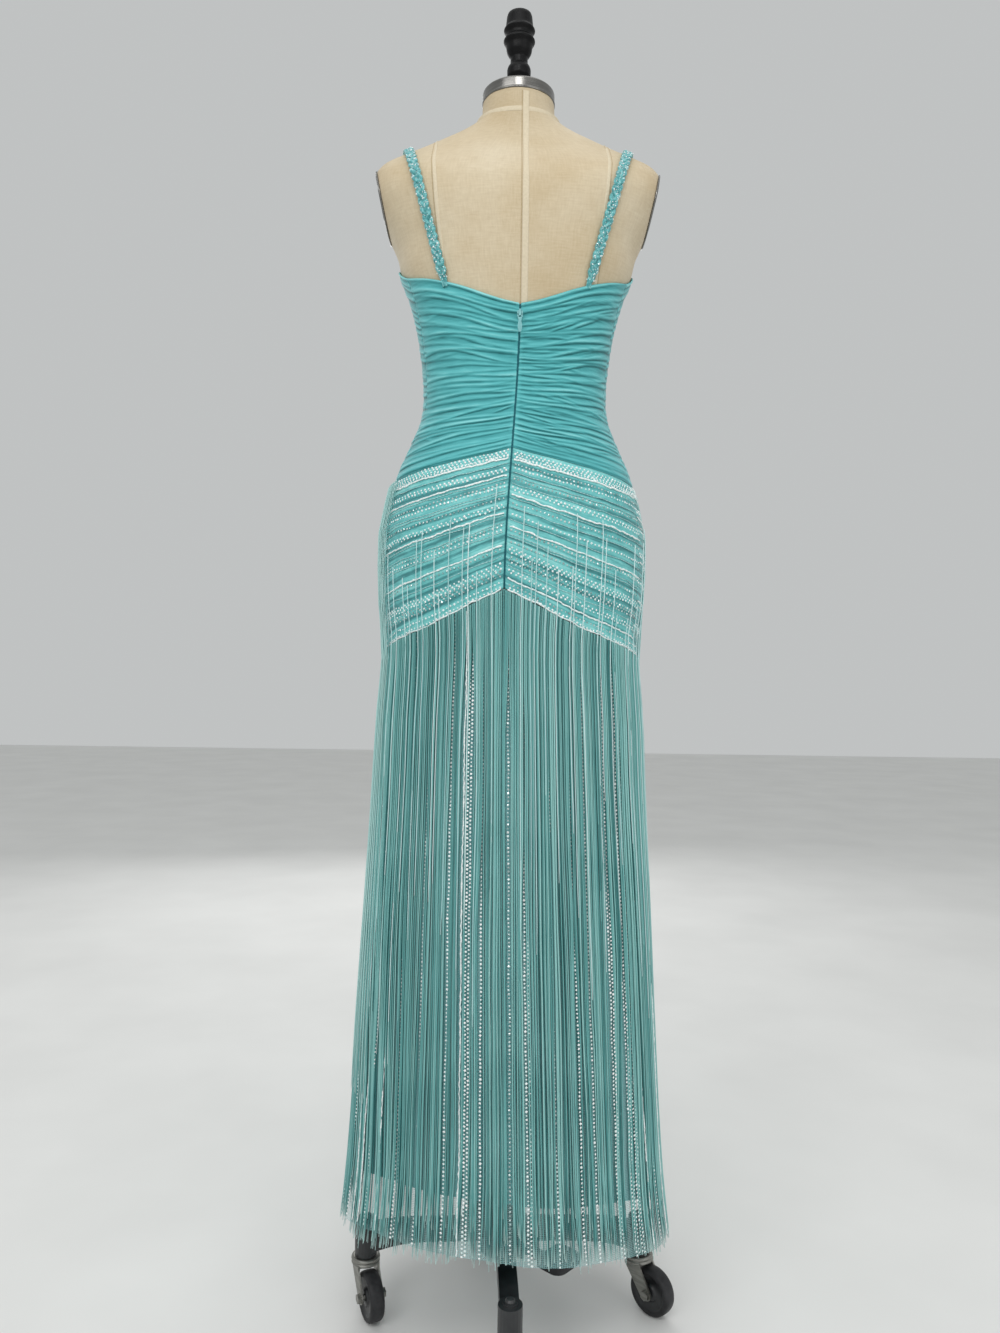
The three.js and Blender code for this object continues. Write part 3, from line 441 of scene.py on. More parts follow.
def srgb(red, green, blue):
    """A colour picked in 0-255 sRGB, as the shader's linear RGBA."""
    levels = [value / 255 for value in (red, green, blue)]
    linear = [v / 12.92 if v <= 0.04045 else ((v + 0.055) / 1.055) ** 2.4 for v in levels]
    return (*linear, 1)


class Finish:
    """One material and the nodes that make its colour, roughness and bump."""

    def __init__(self, name, **shader):
        self.material = bpy.data.materials.new(name)
        self.material.use_nodes = True
        tree = self.material.node_tree
        self.nodes = tree.nodes
        self.links = tree.links
        self.nodes.clear()
        self.shader = self.nodes.new("ShaderNodeBsdfPrincipled")
        output = self.nodes.new("ShaderNodeOutputMaterial")
        self.links.new(self.shader.outputs[0], output.inputs[0])
        for key, value in shader.items():
            self.shader.inputs[key.replace("_", " ")].default_value = value
        self.relief = None

    def place(self, socket, value):
        if isinstance(value, bpy.types.NodeSocket):
            self.links.new(value, socket)
        else:
            socket.default_value = value

    def add(self, kind, output, inputs, **options):
        """One output of a new node, whose options and inputs are set here."""
        node = self.nodes.new("ShaderNode" + kind)
        for key, value in options.items():
            setattr(node, key, value)
        for key, value in inputs.items():
            self.place(node.inputs[key], value)
        return node.outputs[output]

    def coordinates(self, kind, stretch):
        """kind is UV, in metres on the cloth pieces, or Object."""
        source = self.add("TexCoord", kind, {})
        return self.add("Mapping", 0, {"Vector": source, "Scale": stretch})

    def noise(self, scale, detail=3, roughness=0.5, stretch=(1, 1, 1), kind="Object"):
        where = self.coordinates(kind, stretch)
        return self.add("TexNoise", "Fac", {"Vector": where, "Scale": scale, "Detail": detail,
                                            "Roughness": roughness})

    def grain(self, across, along, detail=3, roughness=0.5):
        """Noise on the cloth, with that many spots a metre across it and along it."""
        return self.noise(1, detail, roughness, (across, along, 1), "UV")

    def wave(self, pitch, direction, distortion, stretch=(1, 1, 1), kind="UV"):
        """Ridges, `pitch` metres apart."""
        # One wave texture cycle takes pi / 10 of a unit at scale 1.
        where = self.coordinates(kind, stretch)
        return self.add("TexWave", "Fac", {"Vector": where, "Scale": math.pi / 10 / pitch,
                                           "Distortion": distortion, "Detail": 1},
                        bands_direction=direction)

    def twist(self, along, distortion, across=1):
        """The slanting ridges of a thread, `along` of them a metre."""
        return self.wave(1, "DIAGONAL", distortion, (across, along, 1))

    def crossed(self, operation, pitch, distortion):
        """Threads each way, `pitch` metres apart."""
        return self.math(operation, self.wave(pitch, "X", distortion),
                         self.wave(pitch, "Y", distortion))

    def weave(self, pitch, distance):
        """The relief of a plain weave, `distance` metres deep. Returns its threads."""
        threads = self.crossed("MULTIPLY", pitch, 0.4)
        self.bump(threads, distance, 0.6)
        return threads

    def attribute(self, name):
        return self.add("Attribute", "Fac", {}, attribute_name=name)

    def math(self, operation, a, b):
        return self.add("Math", 0, {0: a, 1: b}, operation=operation)

    def weighed(self, a, part_a, b, part_b):
        """The sum of a and b, each times its part."""
        return self.math("ADD", self.math("MULTIPLY", a, part_a),
                         self.math("MULTIPLY", b, part_b))

    def ramp(self, value, *stops):
        """A colour for each value. A stop is the value and its red, green and blue."""
        node = self.nodes.new("ShaderNodeValToRGB")
        elements = node.color_ramp.elements
        while len(elements) < len(stops):
            elements.new(0.5)
        for element, (position, *shade) in zip(elements, stops):
            element.position = position
            element.color = srgb(*shade)
        self.links.new(value, node.inputs[0])
        return node.outputs[0]

    def levels(self, value, low, high, start, end):
        """A number from start to end as value goes from low to high."""
        return self.add("MapRange", 0, {"Value": value, "From Min": low, "From Max": high,
                                        "To Min": start, "To Max": end})

    def mixed(self, factor, a, b, blend="MIX"):
        return self.add("Mix", 2, {0: factor, 6: a, 7: b}, data_type="RGBA", blend_type=blend)

    def color(self, value, *stops):
        """The base colour: a colour, or a value and the stops of its ramp."""
        shade = self.ramp(value, *stops) if stops else value
        self.place(self.shader.inputs["Base Color"], shade)

    def rough(self, value, low, high, start, end):
        self.place(self.shader.inputs["Roughness"], self.levels(value, low, high, start, end))

    def bump(self, height, distance, strength):
        """Adds relief, `distance` metres deep, over any relief before it."""
        inputs = {"Strength": strength, "Distance": distance, "Height": height}
        if self.relief is not None:
            inputs["Normal"] = self.relief
        self.relief = self.add("Bump", 0, inputs)
        self.place(self.shader.inputs["Normal"], self.relief)


def chiffon_finish():
    made = Finish("chiffon", Sheen_Weight=0.35, Sheen_Roughness=0.45, Specular_IOR_Level=0.3)
    threads = made.weave(0.0007, 0.00008)
    streaks = made.grain(9, 90, 4)
    creases_and_shade = made.grain(26, 420)
    made.bump(creases_and_shade, 0.0006, 0.6)
    # The crease noise bumps the cloth and also darkens the colour in its hollows: painted shade.
    lines = made.weighed(streaks, 0.28, creases_and_shade, 0.22)
    # The cloth's tone attribute carries the painted light and shade of the folds.
    tone = made.ramp(made.weighed(made.attribute("painted_shading"), 0.62, lines, 1), (0.22, 30, 112, 115),
                     (0.42, 66, 160, 164), (0.66, 98, 194, 197), (0.95, 150, 226, 227))
    made.color(made.mixed(1, tone, made.levels(threads, 0, 1, 0.9, 1), "MULTIPLY"))
    made.rough(streaks, 0.2, 0.8, 0.62, 0.78)
    return made.material


def yoke_finish():
    made = Finish("beaded_cloth", Sheen_Weight=0.3, Sheen_Roughness=0.4, Specular_IOR_Level=0.4)
    made.weave(0.0009, 0.0001)
    stripes = made.grain(5, 330, 3, 0.6)
    crumples_and_shade = made.grain(90, 260)
    made.bump(crumples_and_shade, 0.0012, 0.6)
    # The tone attribute carries the painted light and shade of the yoke's ripples and dips.
    painted_shading = made.math("SUBTRACT", made.math("MULTIPLY", made.attribute("painted_shading"), 0.3), 0.1)
    # The crumple noise also darkens the colour in its hollows: painted shade.
    made.color(made.math("ADD", made.weighed(stripes, 0.55, crumples_and_shade, 0.3), painted_shading),
               (0.32, 62, 134, 137), (0.43, 92, 176, 177), (0.53, 116, 200, 199),
               (0.68, 160, 224, 221))
    made.rough(crumples_and_shade, 0.3, 0.7, 0.42, 0.62)
    return made.material


def lining_finish():
    made = Finish("lining_cloth", Sheen_Weight=0.2, Specular_IOR_Level=0.4)
    made.weave(0.0008, 0.00008)
    drape = made.grain(28, 1.6)
    made.bump(drape, 0.004, 0.5)
    # The drape noise also sets the colour, darker in its hollows: painted shade of the drapes.
    made.color(drape, (0.3, 58, 146, 150), (0.5, 84, 178, 181), (0.7, 112, 204, 204))
    made.rough(drape, 0.2, 0.8, 0.4, 0.55)
    return made.material


def net_finish():
    """Fine net: threads on a square grid with see-through holes between them."""
    made = Finish("mesh_cloth", Sheen_Weight=0.4, Specular_IOR_Level=0.4)
    threads = made.crossed("MAXIMUM", 0.0021, 0.6)
    folds = made.grain(36, 1.4)
    made.bump(threads, 0.0002, 0.6)
    # The fold noise only tints the colour: painted shade of soft folds.
    made.color(folds, (0.3, 120, 180, 182), (0.55, 160, 208, 208), (0.75, 196, 228, 228))
    made.rough(folds, 0.2, 0.8, 0.5, 0.7)
    made.place(made.shader.inputs["Alpha"], made.levels(threads, 0.55, 0.85, 0.16, 0.62))
    return made.material


def fringe_finish(name, dark, middle, light, tip):
    """Twisted thread. Each strand has its own tone, and its cut end frays pale."""
    made = Finish(name, Sheen_Weight=0.3, Sheen_Roughness=0.35, Specular_IOR_Level=0.45)
    made.bump(made.twist(560, 0.3), 0.00025, 0.5)
    own = made.weighed(made.attribute("tone"), 0.8, made.grain(0, 7), 0.4)
    tone = made.ramp(own, (0.2, *dark), (0.55, *middle), (0.95, *light))
    made.color(made.mixed(made.attribute("tip"), tone, srgb(*tip)))
    made.rough(made.noise(900, 1, kind="UV"), 0.2, 0.8, 0.42, 0.6)
    return made.material


def bead_finish(name, low, high, metallic):
    """Small glassy beads and foil sequins: each has its own tone."""
    made = Finish(name, Metallic=metallic, Coat_Weight=0.5, Coat_Roughness=0.08)
    speckle = made.noise(420, 2)
    own = made.weighed(made.attribute("tone"), 0.8, speckle, 0.3)
    made.color(own, (0.1, *low), (0.85, *high))
    made.rough(speckle, 0.3, 0.7, 0.2, 0.32)
    return made.material


def cord_finish(name, low, high):
    """Couched embroidery cord, twisted and satin."""
    made = Finish(name, Sheen_Weight=0.4, Specular_IOR_Level=0.5)
    twist = made.twist(420, 0.5)
    made.bump(twist, 0.0003, 0.7)
    made.color(made.weighed(twist, 0.5, made.noise(90), 0.6), (0.25, *low), (0.8, *high))
    made.rough(twist, 0, 1, 0.38, 0.55)
    return made.material


def braid_finish():
    made = Finish("strap_braid", Sheen_Weight=0.4, Specular_IOR_Level=0.4)
    crumple_and_shade = made.noise(260)
    made.bump(made.twist(900, 0.6, 3), 0.0003, 0.5)
    made.bump(crumple_and_shade, 0.0005, 0.5)
    # The crumple noise also darkens the colour in its hollows: painted shade.
    made.color(crumple_and_shade, (0.3, 48, 122, 124), (0.52, 86, 168, 170), (0.72, 150, 212, 212))
    made.rough(crumple_and_shade, 0.3, 0.7, 0.4, 0.6)
    return made.material


def linen_finish():
    made = Finish("linen", Sheen_Weight=0.15, Specular_IOR_Level=0.25)
    threads = made.weave(0.0011, 0.00022)
    slubs = made.grain(420, 60, 4, 0.6)
    picks = made.grain(60, 420, 4, 0.6)
    made.bump(slubs, 0.00025, 0.5)
    made.bump(picks, 0.00025, 0.5)
    tone = made.ramp(made.weighed(slubs, 0.5, picks, 0.5), (0.3, 206, 190, 162),
                     (0.5, 215, 201, 174), (0.7, 224, 211, 186))
    clouds = made.ramp(made.noise(9, 4), (0.3, 236, 228, 214), (0.7, 255, 255, 255))
    aged = made.mixed(1, tone, clouds, "MULTIPLY")
    made.color(made.mixed(1, aged, made.levels(threads, 0, 1, 0.96, 1), "MULTIPLY"))
    made.rough(slubs, 0.2, 0.8, 0.78, 0.9)
    return made.material


def tape_finish(name, low, high):
    """Narrow herringbone tape."""
    made = Finish(name, Specular_IOR_Level=0.25)
    fibres = made.grain(300, 300)
    made.bump(made.wave(0.0016, "DIAGONAL", 0.2), 0.0002, 0.6)
    made.color(fibres, (0.3, *low), (0.7, *high))
    made.rough(fibres, 0.2, 0.8, 0.72, 0.86)
    return made.material


def steel_finish(name, low, high, roughness, brush, metallic=1.0):
    """Worn plain metal: fine brushing, and duller patches where it has been handled."""
    made = Finish(name, Metallic=metallic)
    brushing = made.noise(18, 4, 0.7, brush)
    patches = made.noise(28, 4)
    made.color(made.weighed(brushing, 0.6, patches, 0.4), (0.32, *low), (0.66, *high))
    made.bump(brushing, 0.0002, 0.35)
    made.rough(patches, 0.3, 0.7, roughness, roughness + 0.16)
    return made.material


def enamel_finish():
    """Thick sprayed black enamel with a light orange peel, dust, and rubbed patches."""
    made = Finish("black_paint", Coat_Weight=0.25, Coat_Roughness=0.2, Specular_IOR_Level=0.5)
    dust = made.noise(22, 5, 0.65)
    made.bump(made.noise(420, 2), 0.0003, 0.4)
    made.color(dust, (0.35, 15, 17, 19), (0.72, 46, 48, 50))
    made.rough(dust, 0.3, 0.75, 0.34, 0.59)
    return made.material


def wood_finish():
    """Black stained and lacquered turned wood."""
    made = Finish("black_wood", Coat_Weight=0.05, Coat_Roughness=0.2, Specular_IOR_Level=0.16)
    grain = made.noise(1, 5, 0.6, (150, 150, 9))
    made.bump(grain, 0.0004, 0.4)
    made.bump(made.wave(0.0014, "Z", 1.2, kind="Object"), 0.0001, 0.3)
    made.color(grain, (0.35, 4, 4, 5), (0.7, 15, 15, 16))
    made.rough(grain, 0.3, 0.7, 0.36, 0.5)
    return made.material


def rubber_finish():
    made = Finish("rubber", Specular_IOR_Level=0.4)
    scuffs = made.noise(40, 5, 0.7)
    made.bump(made.noise(700), 0.0002, 0.5)
    made.color(scuffs, (0.35, 17, 18, 21), (0.75, 58, 58, 60))
    made.rough(scuffs, 0.3, 0.7, 0.42, 0.7)
    return made.material


CHIFFON = chiffon_finish()
YOKE_CLOTH = yoke_finish()
LINING_CLOTH = lining_finish()
NET = net_finish()
FRINGE = fringe_finish("fringe_thread", (40, 112, 112), (104, 172, 170),
                       (156, 210, 206), (206, 232, 228))
# A lighter copy of the fringe thread, for the over-fringe: painted light.
LIT_FRINGE = fringe_finish("lit_fringe_thread", (92, 164, 163), (142, 203, 200),
                            (192, 230, 226), (220, 240, 237))
PALE_THREAD = fringe_finish("pale_thread", (176, 220, 220), (206, 236, 236),
                            (232, 248, 248), (240, 250, 250))
WHITE_BEADS = bead_finish("white_beads", (226, 244, 242), (255, 255, 255), 0.0)
SILVER_BEADS = bead_finish("silver_beads", (150, 176, 175), (236, 244, 242), 0.6)
WHITE_CORD = cord_finish("white_cord", (222, 244, 242), (255, 255, 255))
PALE_CORD = cord_finish("pale_cord", (128, 184, 186), (188, 222, 222))
BRAID = braid_finish()
LINEN = linen_finish()
TWILL = tape_finish("twill_tape", (208, 195, 168), (218, 205, 180))
# Seams on the linen are darker strips: painted shade along each seam line.
SEAM_SHADE = tape_finish("painted_seam_shade", (170, 150, 118), (190, 172, 140))
ZIP_TAPE = tape_finish("zip_tape", (24, 86, 96), (40, 108, 116))
ZIP_METAL = steel_finish("zip_metal", (72, 142, 146), (146, 198, 200), 0.3, (1, 1, 1), 0.5)
CAP_STEEL = steel_finish("cap_steel", (112, 111, 109), (140, 138, 134), 0.16, (1, 1, 40))
BLACK_WOOD = wood_finish()
BLACK_PAINT = enamel_finish()
CASTER_STEEL = steel_finish("caster_steel", (104, 104, 100), (172, 171, 165), 0.36, (1, 1, 8))
RUBBER = rubber_finish()


def finished(piece, material, slot, *replaced, body="form"):
    piece.data.materials.clear()
    piece.data.materials.append(material)
    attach(piece, body)
    if replaced:
        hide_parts(*replaced)
    return piece


# ---------------------------------------------------------------- cloth panels

TURNED = 0.03


def turned_edges(count):
    """Shares from 0 to 1 with the edges turned under, and which of them lie underneath."""
    shares = np.concatenate([[TURNED, 0], np.linspace(0, 1, count + 1), [1, 1 - TURNED]])
    under = np.zeros(len(shares), bool)
    under[[0, 1, -2, -1]] = True
    return shares, under


def cloth_panel(name, start, end, insets, top, bottom, outer, inner, across, down, along_bands=0):
    """A panel between two shares of a turn whose edges are folded in to the inner distance.

    outer(around, share, across_share) gives the distance out and a tone from 0 to 1 that paints light
    and shade into the colour. The texture runs level, or parallel to the panel's edges where
    along_bands gives the panel's height in millimetres.
    """
    columns, column_under = turned_edges(across)
    rows, row_under = turned_edges(down)
    across_share = np.broadcast_to(columns[None, :], (len(rows), len(columns)))
    share = np.broadcast_to(rows[:, None], across_share.shape)
    around = start + (end - start) * across_share
    inset = insets[0] * (1 - across_share) - insets[1] * across_share
    distance, painted_tone = outer(around, share, across_share)
    under = row_under[:, None] | column_under[None, :]
    z = top(around) + share * (bottom(around) - top(around))
    points, _ = on_gown(z, around, np.where(under, inner, distance), inset)
    lengthways = share * along_bands * MM if along_bands else z * MM
    uvs = np.stack([around * BODICE_ROUND * MM, lengthways], axis=-1)
    # The painted light and shade goes to the shader as a point attribute.
    return mesh_object(name, points, grid_faces(*z.shape), uvs, {"painted_shading": painted_tone})


# ---------------------------------------------------------------- bodice

PLEATS = 36
wander = Hills(11)
swell = Hills(13)
wrinkle = Hills(16)
body_sag = Hills(17)


def fold_table(count, crossings, width, seed):
    """Folds of ruched cloth: level, slope, bend, start, end, height, reach above and below."""
    random = np.random.default_rng(seed)
    rows = []
    for k in range(count):
        level = (k + 0.55 + random.uniform(-0.22, 0.22)) / count
        slope = random.normal(0, 0.32) / count
        rows.append((level, slope, random.normal(0, 0.35) / count, -0.2, 1.2,
                     random.uniform(1.1, 2.5), random.uniform(2.8, 5.4), random.uniform(0.8, 1.4)))
    for _ in range(crossings):
        start = random.uniform(-0.1, 0.85)
        length = random.uniform(35, 110) / width
        slope = random.choice([-1, 1]) * random.uniform(0.7, 2.2) / count / max(length, 0.1)
        rows.append((random.uniform(0.05, 0.97), slope, 0, start, start + length,
                     random.uniform(0.9, 2.3), random.uniform(2.0, 3.6), random.uniform(0.8, 1.3)))
    return rows


def fold_relief(rows, share, across_share):
    """The folds' lift in millimetres, and how deep in a crease each place is, from 0 to 1.

    The proudest fold leads at each place. The crease runs just below the fold's lip.
    """
    total = np.zeros(share.shape)
    crease = np.zeros(share.shape)
    for k, (level, slope, bend, start, end, height, above, below) in enumerate(rows):
        middle = (start + end) / 2
        line = level + slope * (across_share - middle) + bend * np.cos(TAU * across_share * 0.7 + k)
        line = line + 0.005 * wander(across_share * 2.6, k * 1.7)
        apart = (share - line) * PANEL_TALL
        reach = np.where(apart < 0, above, below)
        taper = np.clip((across_share - start) * 6, 0, 1) * np.clip((end - across_share) * 6, 0, 1)
        strong = height * ease(taper) * (0.78 + 0.3 * swell(across_share * 4.1, k * 2.3))
        total = total + (strong * hump(apart, reach)) ** 3
        under = strong / 2.3 * hump(apart - 1.9 * below, 1.3)
        crease = np.maximum(crease, under)
    return np.cbrt(total), np.clip(crease, 0, 1)


def bodice_outer(rows, centre_side, crease_shade):
    """centre_side is 0 or 1 for the end of the panel that meets the zip, or None."""
    def outer(around, share, across_share):
        a = around * HILL_COUNT
        folds, crease = fold_relief(rows, share, across_share)
        fine = wrinkle(a * 1.1, share * 170)
        sag = body_sag(a * 0.25, share * 3)
        fade = 1 - 0.7 * hump(share * PANEL_TALL, 2.5)
        fade = fade * (1 - 0.5 * hump((1 - share) * PANEL_TALL, 3))
        rim = 1.1 * hump(share * PANEL_TALL - 2.2, 1.7)
        if centre_side is not None:
            near = np.abs(across_share - centre_side) * BACK_WIDE
            fade = fade * (1 - 0.7 * hump(near, 5))
            rim = rim - 0.4 * hump(near - 6.5, 0.9)
        # The folds lie flatter where the cloth is stretched round the sides.
        side = 1 - 0.55 * hump(np.abs(np.sin(TAU * around)) - 1, 0.12)
        distance = 0.9 + fade * side * (1.15 * folds - 0.3 * crease + 0.08 * fine) + rim + 0.4 * sag
        # The colour tone is painted light and shade: lighter on the raised folds, the fine wrinkles and
        # the rolled top edge, and darker in the crease under each fold.
        lit = 0.33 + 0.42 * np.clip(folds / 1.6, 0, 1.5) + 0.08 * fine
        painted_tone = np.clip(lit - crease_shade * crease * fade + 0.3 * np.clip(rim, 0, 1), 0, 1)
        return distance, painted_tone
    return outer


def bodice_panel(name, node, start, end, insets, crossings, centre_side, across, seed, crease_shade):
    rows = fold_table(PLEATS, crossings, abs(end - start) * BODICE_ROUND, seed)
    piece = cloth_panel(
        name, start, end, insets, neckline_at, lambda around: waist_seam_at(around) + 0.3,
        bodice_outer(rows, centre_side, crease_shade), 0.35, across, 330,
    )
    return finished(piece, CHIFFON, "chiffon", node)


bodice_left = bodice_panel("bodice_cloth_left", "bodice_back_left", 0, SIDE_SEAM,
                           (ZIP_INSET, EDGE_INSET), 22, 0, 110, 111, 0.5)
bodice_right = bodice_panel("bodice_cloth_right", "bodice_back_right", 1 - SIDE_SEAM, 1,
                            (EDGE_INSET, ZIP_INSET), 110, 1, 110, 112, 0.7)
bodice_front = bodice_panel("bodice_cloth_front", "bodice_front", SIDE_SEAM, 1 - SIDE_SEAM,
                            (EDGE_INSET, EDGE_INSET), 90, None, 220, 113, 0.55)


# ---------------------------------------------------------------- yoke and its embroidery

# How far down the yoke each line of embroidery runs, from the seam to the hem, and its kind.
YOKE_LEFT = [
    (0.030, "lattice"), (0.070, "broad"), (0.110, "thin"), (0.153, "zigzag"), (0.201, "cord"),
    (0.222, "thin"), (0.255, "silver_row"), (0.278, "dots"), (0.312, "thin"), (0.330, "thin"),
    (0.360, "silver_row"), (0.417, "zigzag"), (0.465, "cord"), (0.486, "thin"), (0.542, "thin"),
    (0.560, "silver_row"), (0.585, "dots"), (0.604, "thin"), (0.694, "cord"), (0.722, "silver_row"),
    (0.770, "thin"), (0.835, "lattice"), (0.885, "silver"), (0.950, "dots"), (0.997, "broad"),
]
YOKE_RIGHT = [
    (0.042, "lattice"), (0.083, "broad"), (0.118, "silver_row"), (0.146, "dots"), (0.180, "thin"),
    (0.208, "thin"), (0.225, "silver_row"), (0.260, "thin"), (0.292, "zigzag"), (0.340, "cord"),
    (0.362, "thin"), (0.395, "silver_row"), (0.430, "thin"), (0.476, "dots"), (0.510, "thin"),
    (0.560, "cord"), (0.582, "silver_row"), (0.618, "thin"), (0.632, "thin"), (0.665, "silver_row"),
    (0.722, "lattice"), (0.785, "silver"), (0.830, "thin"), (0.868, "zigzag"), (0.917, "cord"),
    (0.955, "silver_row"), (0.997, "broad"),
]
# How far down the yoke the cloth dips in a shallow line, with painted shade along each dip.
YOKE_DARK = [0.12, 0.18, 0.25, 0.36, 0.44, 0.51, 0.64, 0.75, 0.80, 0.91]

yoke_ripple = Hills(21)
yoke_slow = Hills(22)
band_wander = Hills(23)


def yoke_outer(around, share, across_share):
    a = around * HILL_COUNT
    ripple = yoke_ripple(a * 0.5, share * 44)
    slow = yoke_slow(a * 0.3, share * 5)
    tuck = 1.3 * hump(share * YOKE_TALL, 3.5)
    shallow = sum(hump((share - line) * YOKE_TALL, 2.4) for line in YOKE_DARK)
    # The colour tone is painted light and shade: lighter where the ripples stand out, darker in the
    # shallow dips.
    distance = 2.1 + 0.3 * ripple + 0.25 * slow - tuck - 0.45 * shallow
    return distance, np.clip(0.6 + 0.25 * ripple - 0.6 * shallow, 0, 1)


def yoke_panel(name, node, start, end, insets, across):
    piece = cloth_panel(
        name, start, end, insets, lambda around: waist_seam_at(around) - 0.2, yoke_hem_at,
        yoke_outer, 0.5, across, 150, YOKE_TALL,
    )
    return finished(piece, YOKE_CLOTH, "beaded_cloth", node)


yoke_left = yoke_panel("yoke_cloth_left", "yoke_back_left", 0, SIDE_SEAM,
                       (ZIP_INSET, EDGE_INSET), 70)
yoke_right = yoke_panel("yoke_cloth_right", "yoke_back_right", 1 - SIDE_SEAM, 1,
                        (EDGE_INSET, ZIP_INSET), 70)
yoke_front = yoke_panel("yoke_cloth_front", "yoke_front", SIDE_SEAM, 1 - SIDE_SEAM,
                        (EDGE_INSET, EDGE_INSET), 170)


BEADS_OUT = 3.0


def down_yoke(around, share):
    """The height at a share of the way from the waist seam to the yoke's hem."""
    return waist_seam_at(around) + share * (yoke_hem_at(around) - waist_seam_at(around))


def band_height(around, share):
    return down_yoke(around, share) + 1.1 * band_wander(around * 70, share * 31)


def yoke_line(start, end, share, offset, spacing, phase):
    """Points every `spacing` mm along a line of embroidery, `offset` mm above its middle."""
    count = int(abs(end - start) * YOKE_ROUND / spacing)
    around = start + (end - start) * (np.arange(count) + phase) / count
    return on_gown(band_height(around, share) + offset, around, BEADS_OUT)


def joined(lines):
    """The points and the normals of many lines, each in one array."""
    return [np.concatenate(column) for column in zip(*lines)]


def yoke_embroidery(side, start, end, lines, seed):
    random = np.random.default_rng(seed)
    white, silver, thick_cords, thin_cords = [], [], [], []
    for share, kind in lines:
        if kind in ("lattice", "silver", "zigzag"):
            offsets = (-1.7, 1.7) if kind == "zigzag" else (-3.2, 0, 3.2)
            for row, offset in enumerate(offsets):
                line = yoke_line(start, end, share, offset, 5.4, 0.5 * (row % 2) + 0.25)
                (silver if kind == "silver" else white).append(line)
        elif kind in ("dots", "silver_row"):
            line = yoke_line(start, end, share, 0, 4.9, 0.5)
            (silver if kind == "silver_row" else white).append(line)
        elif kind in ("cord", "broad"):
            thick_cords.append((share, 1.35 if kind == "cord" else 1.6))
            if kind == "broad":
                white.append(yoke_line(start, end, share, 3.0, 4.6, 0.3))
        else:
            thin_cords.append((share, 0.55))

    def beads(name, rows, material, base):
        centres, normals = joined(rows)
        centres = centres + random.normal(0, 0.22, centres.shape)
        radii = base * random.uniform(0.8, 1.2, len(centres))
        piece = bead_object(f"yoke_{name}_{side}", centres, normals, radii, seed + 3)
        return finished(piece, material, "beaded_cloth")

    def cords(name, rows, material):
        steps = int(abs(end - start) * YOKE_ROUND / 2.2)
        around = np.linspace(start, end, steps)
        paths, normals, radii = [], [], []
        for share, radius in rows:
            wave = 0.9 * band_wander(around * 240, share * 47 + 5)
            z = band_height(around, share) + wave * (radius > 1)
            points, directions = on_gown(z, around, 2.6 + 0.4 * radius)
            paths.append(points)
            normals.append(directions)
            radii.append(radius * (0.8 + 0.35 * band_wander(around * 500, share * 91 + 20)))
        piece = tube_object(f"yoke_{name}_{side}", np.stack(paths), np.stack(radii), np.stack(normals), 5)
        return finished(piece, material, "beaded_cloth")

    return [
        beads("beads", white, WHITE_BEADS, 1.55),
        beads("foils", silver, SILVER_BEADS, 1.5),
        cords("cords", thick_cords, WHITE_CORD),
        cords("threads", thin_cords, PALE_CORD),
    ]


SEAM_CLEAR = 0.004
left_embroidery = yoke_embroidery("left", SEAM_CLEAR, SIDE_SEAM, YOKE_LEFT, 31)
right_embroidery = yoke_embroidery("right", 1 - SIDE_SEAM, 1 - SEAM_CLEAR, YOKE_RIGHT, 41)
front_embroidery = yoke_embroidery("front", SIDE_SEAM, 1 - SIDE_SEAM, YOKE_LEFT, 51)


# ---------------------------------------------------------------- lining and net skirt

def skirt_top(around):
    return yoke_hem_at(around) - 0.3


def lining_hem(around):
    return mesh_hem_at(around) + LINING_RISE


skirt_drape = Hills(61)
net_drape = Hills(62)


def on_circle(around):
    """Where a share of a turn lies on a circle among the hills, so that a drape closes."""
    return np.cos(TAU * around) * 7 + 20, np.sin(TAU * around) * 7 + 20


def skirt_surface(name, hem, base, drape, depth, across, down, tail=0.0):
    """An open tube of cloth from the yoke's hem, one layer thick, with soft drapes."""
    around = np.linspace(0, 1, across, endpoint=False)[None, :]
    share = np.linspace(0, 1, down + 1)[:, None]
    top = skirt_top(around)
    z = top + share * (hem(around) - top)
    turn, other = on_circle(around)
    loose = np.clip(share * 1.6, 0, 1)
    ripple = drape(turn, other + share * 1.5) * depth * loose
    flick = tail * np.clip(share * 4 - 3, 0, 1) * drape(turn * 2, other * 2 + 9)
    points, _ = on_gown(z, around, base + ripple + flick)
    uvs = np.stack(np.broadcast_arrays(around * 1.15, z * MM), axis=-1)
    return mesh_object(name, points, grid_faces(down + 1, across, closed=True), uvs)


lining = skirt_surface("lining_skirt", lining_hem, 0.5, skirt_drape, 0.4, 320, 60)
finished(lining, LINING_CLOTH, "lining_cloth", "lining_back", "lining_front")
net = skirt_surface("net_skirt", mesh_hem_at, 2.1, net_drape, 0.4, 360, 80, tail=1.0)
finished(net, NET, "mesh_cloth", "mesh_back", "mesh_front")

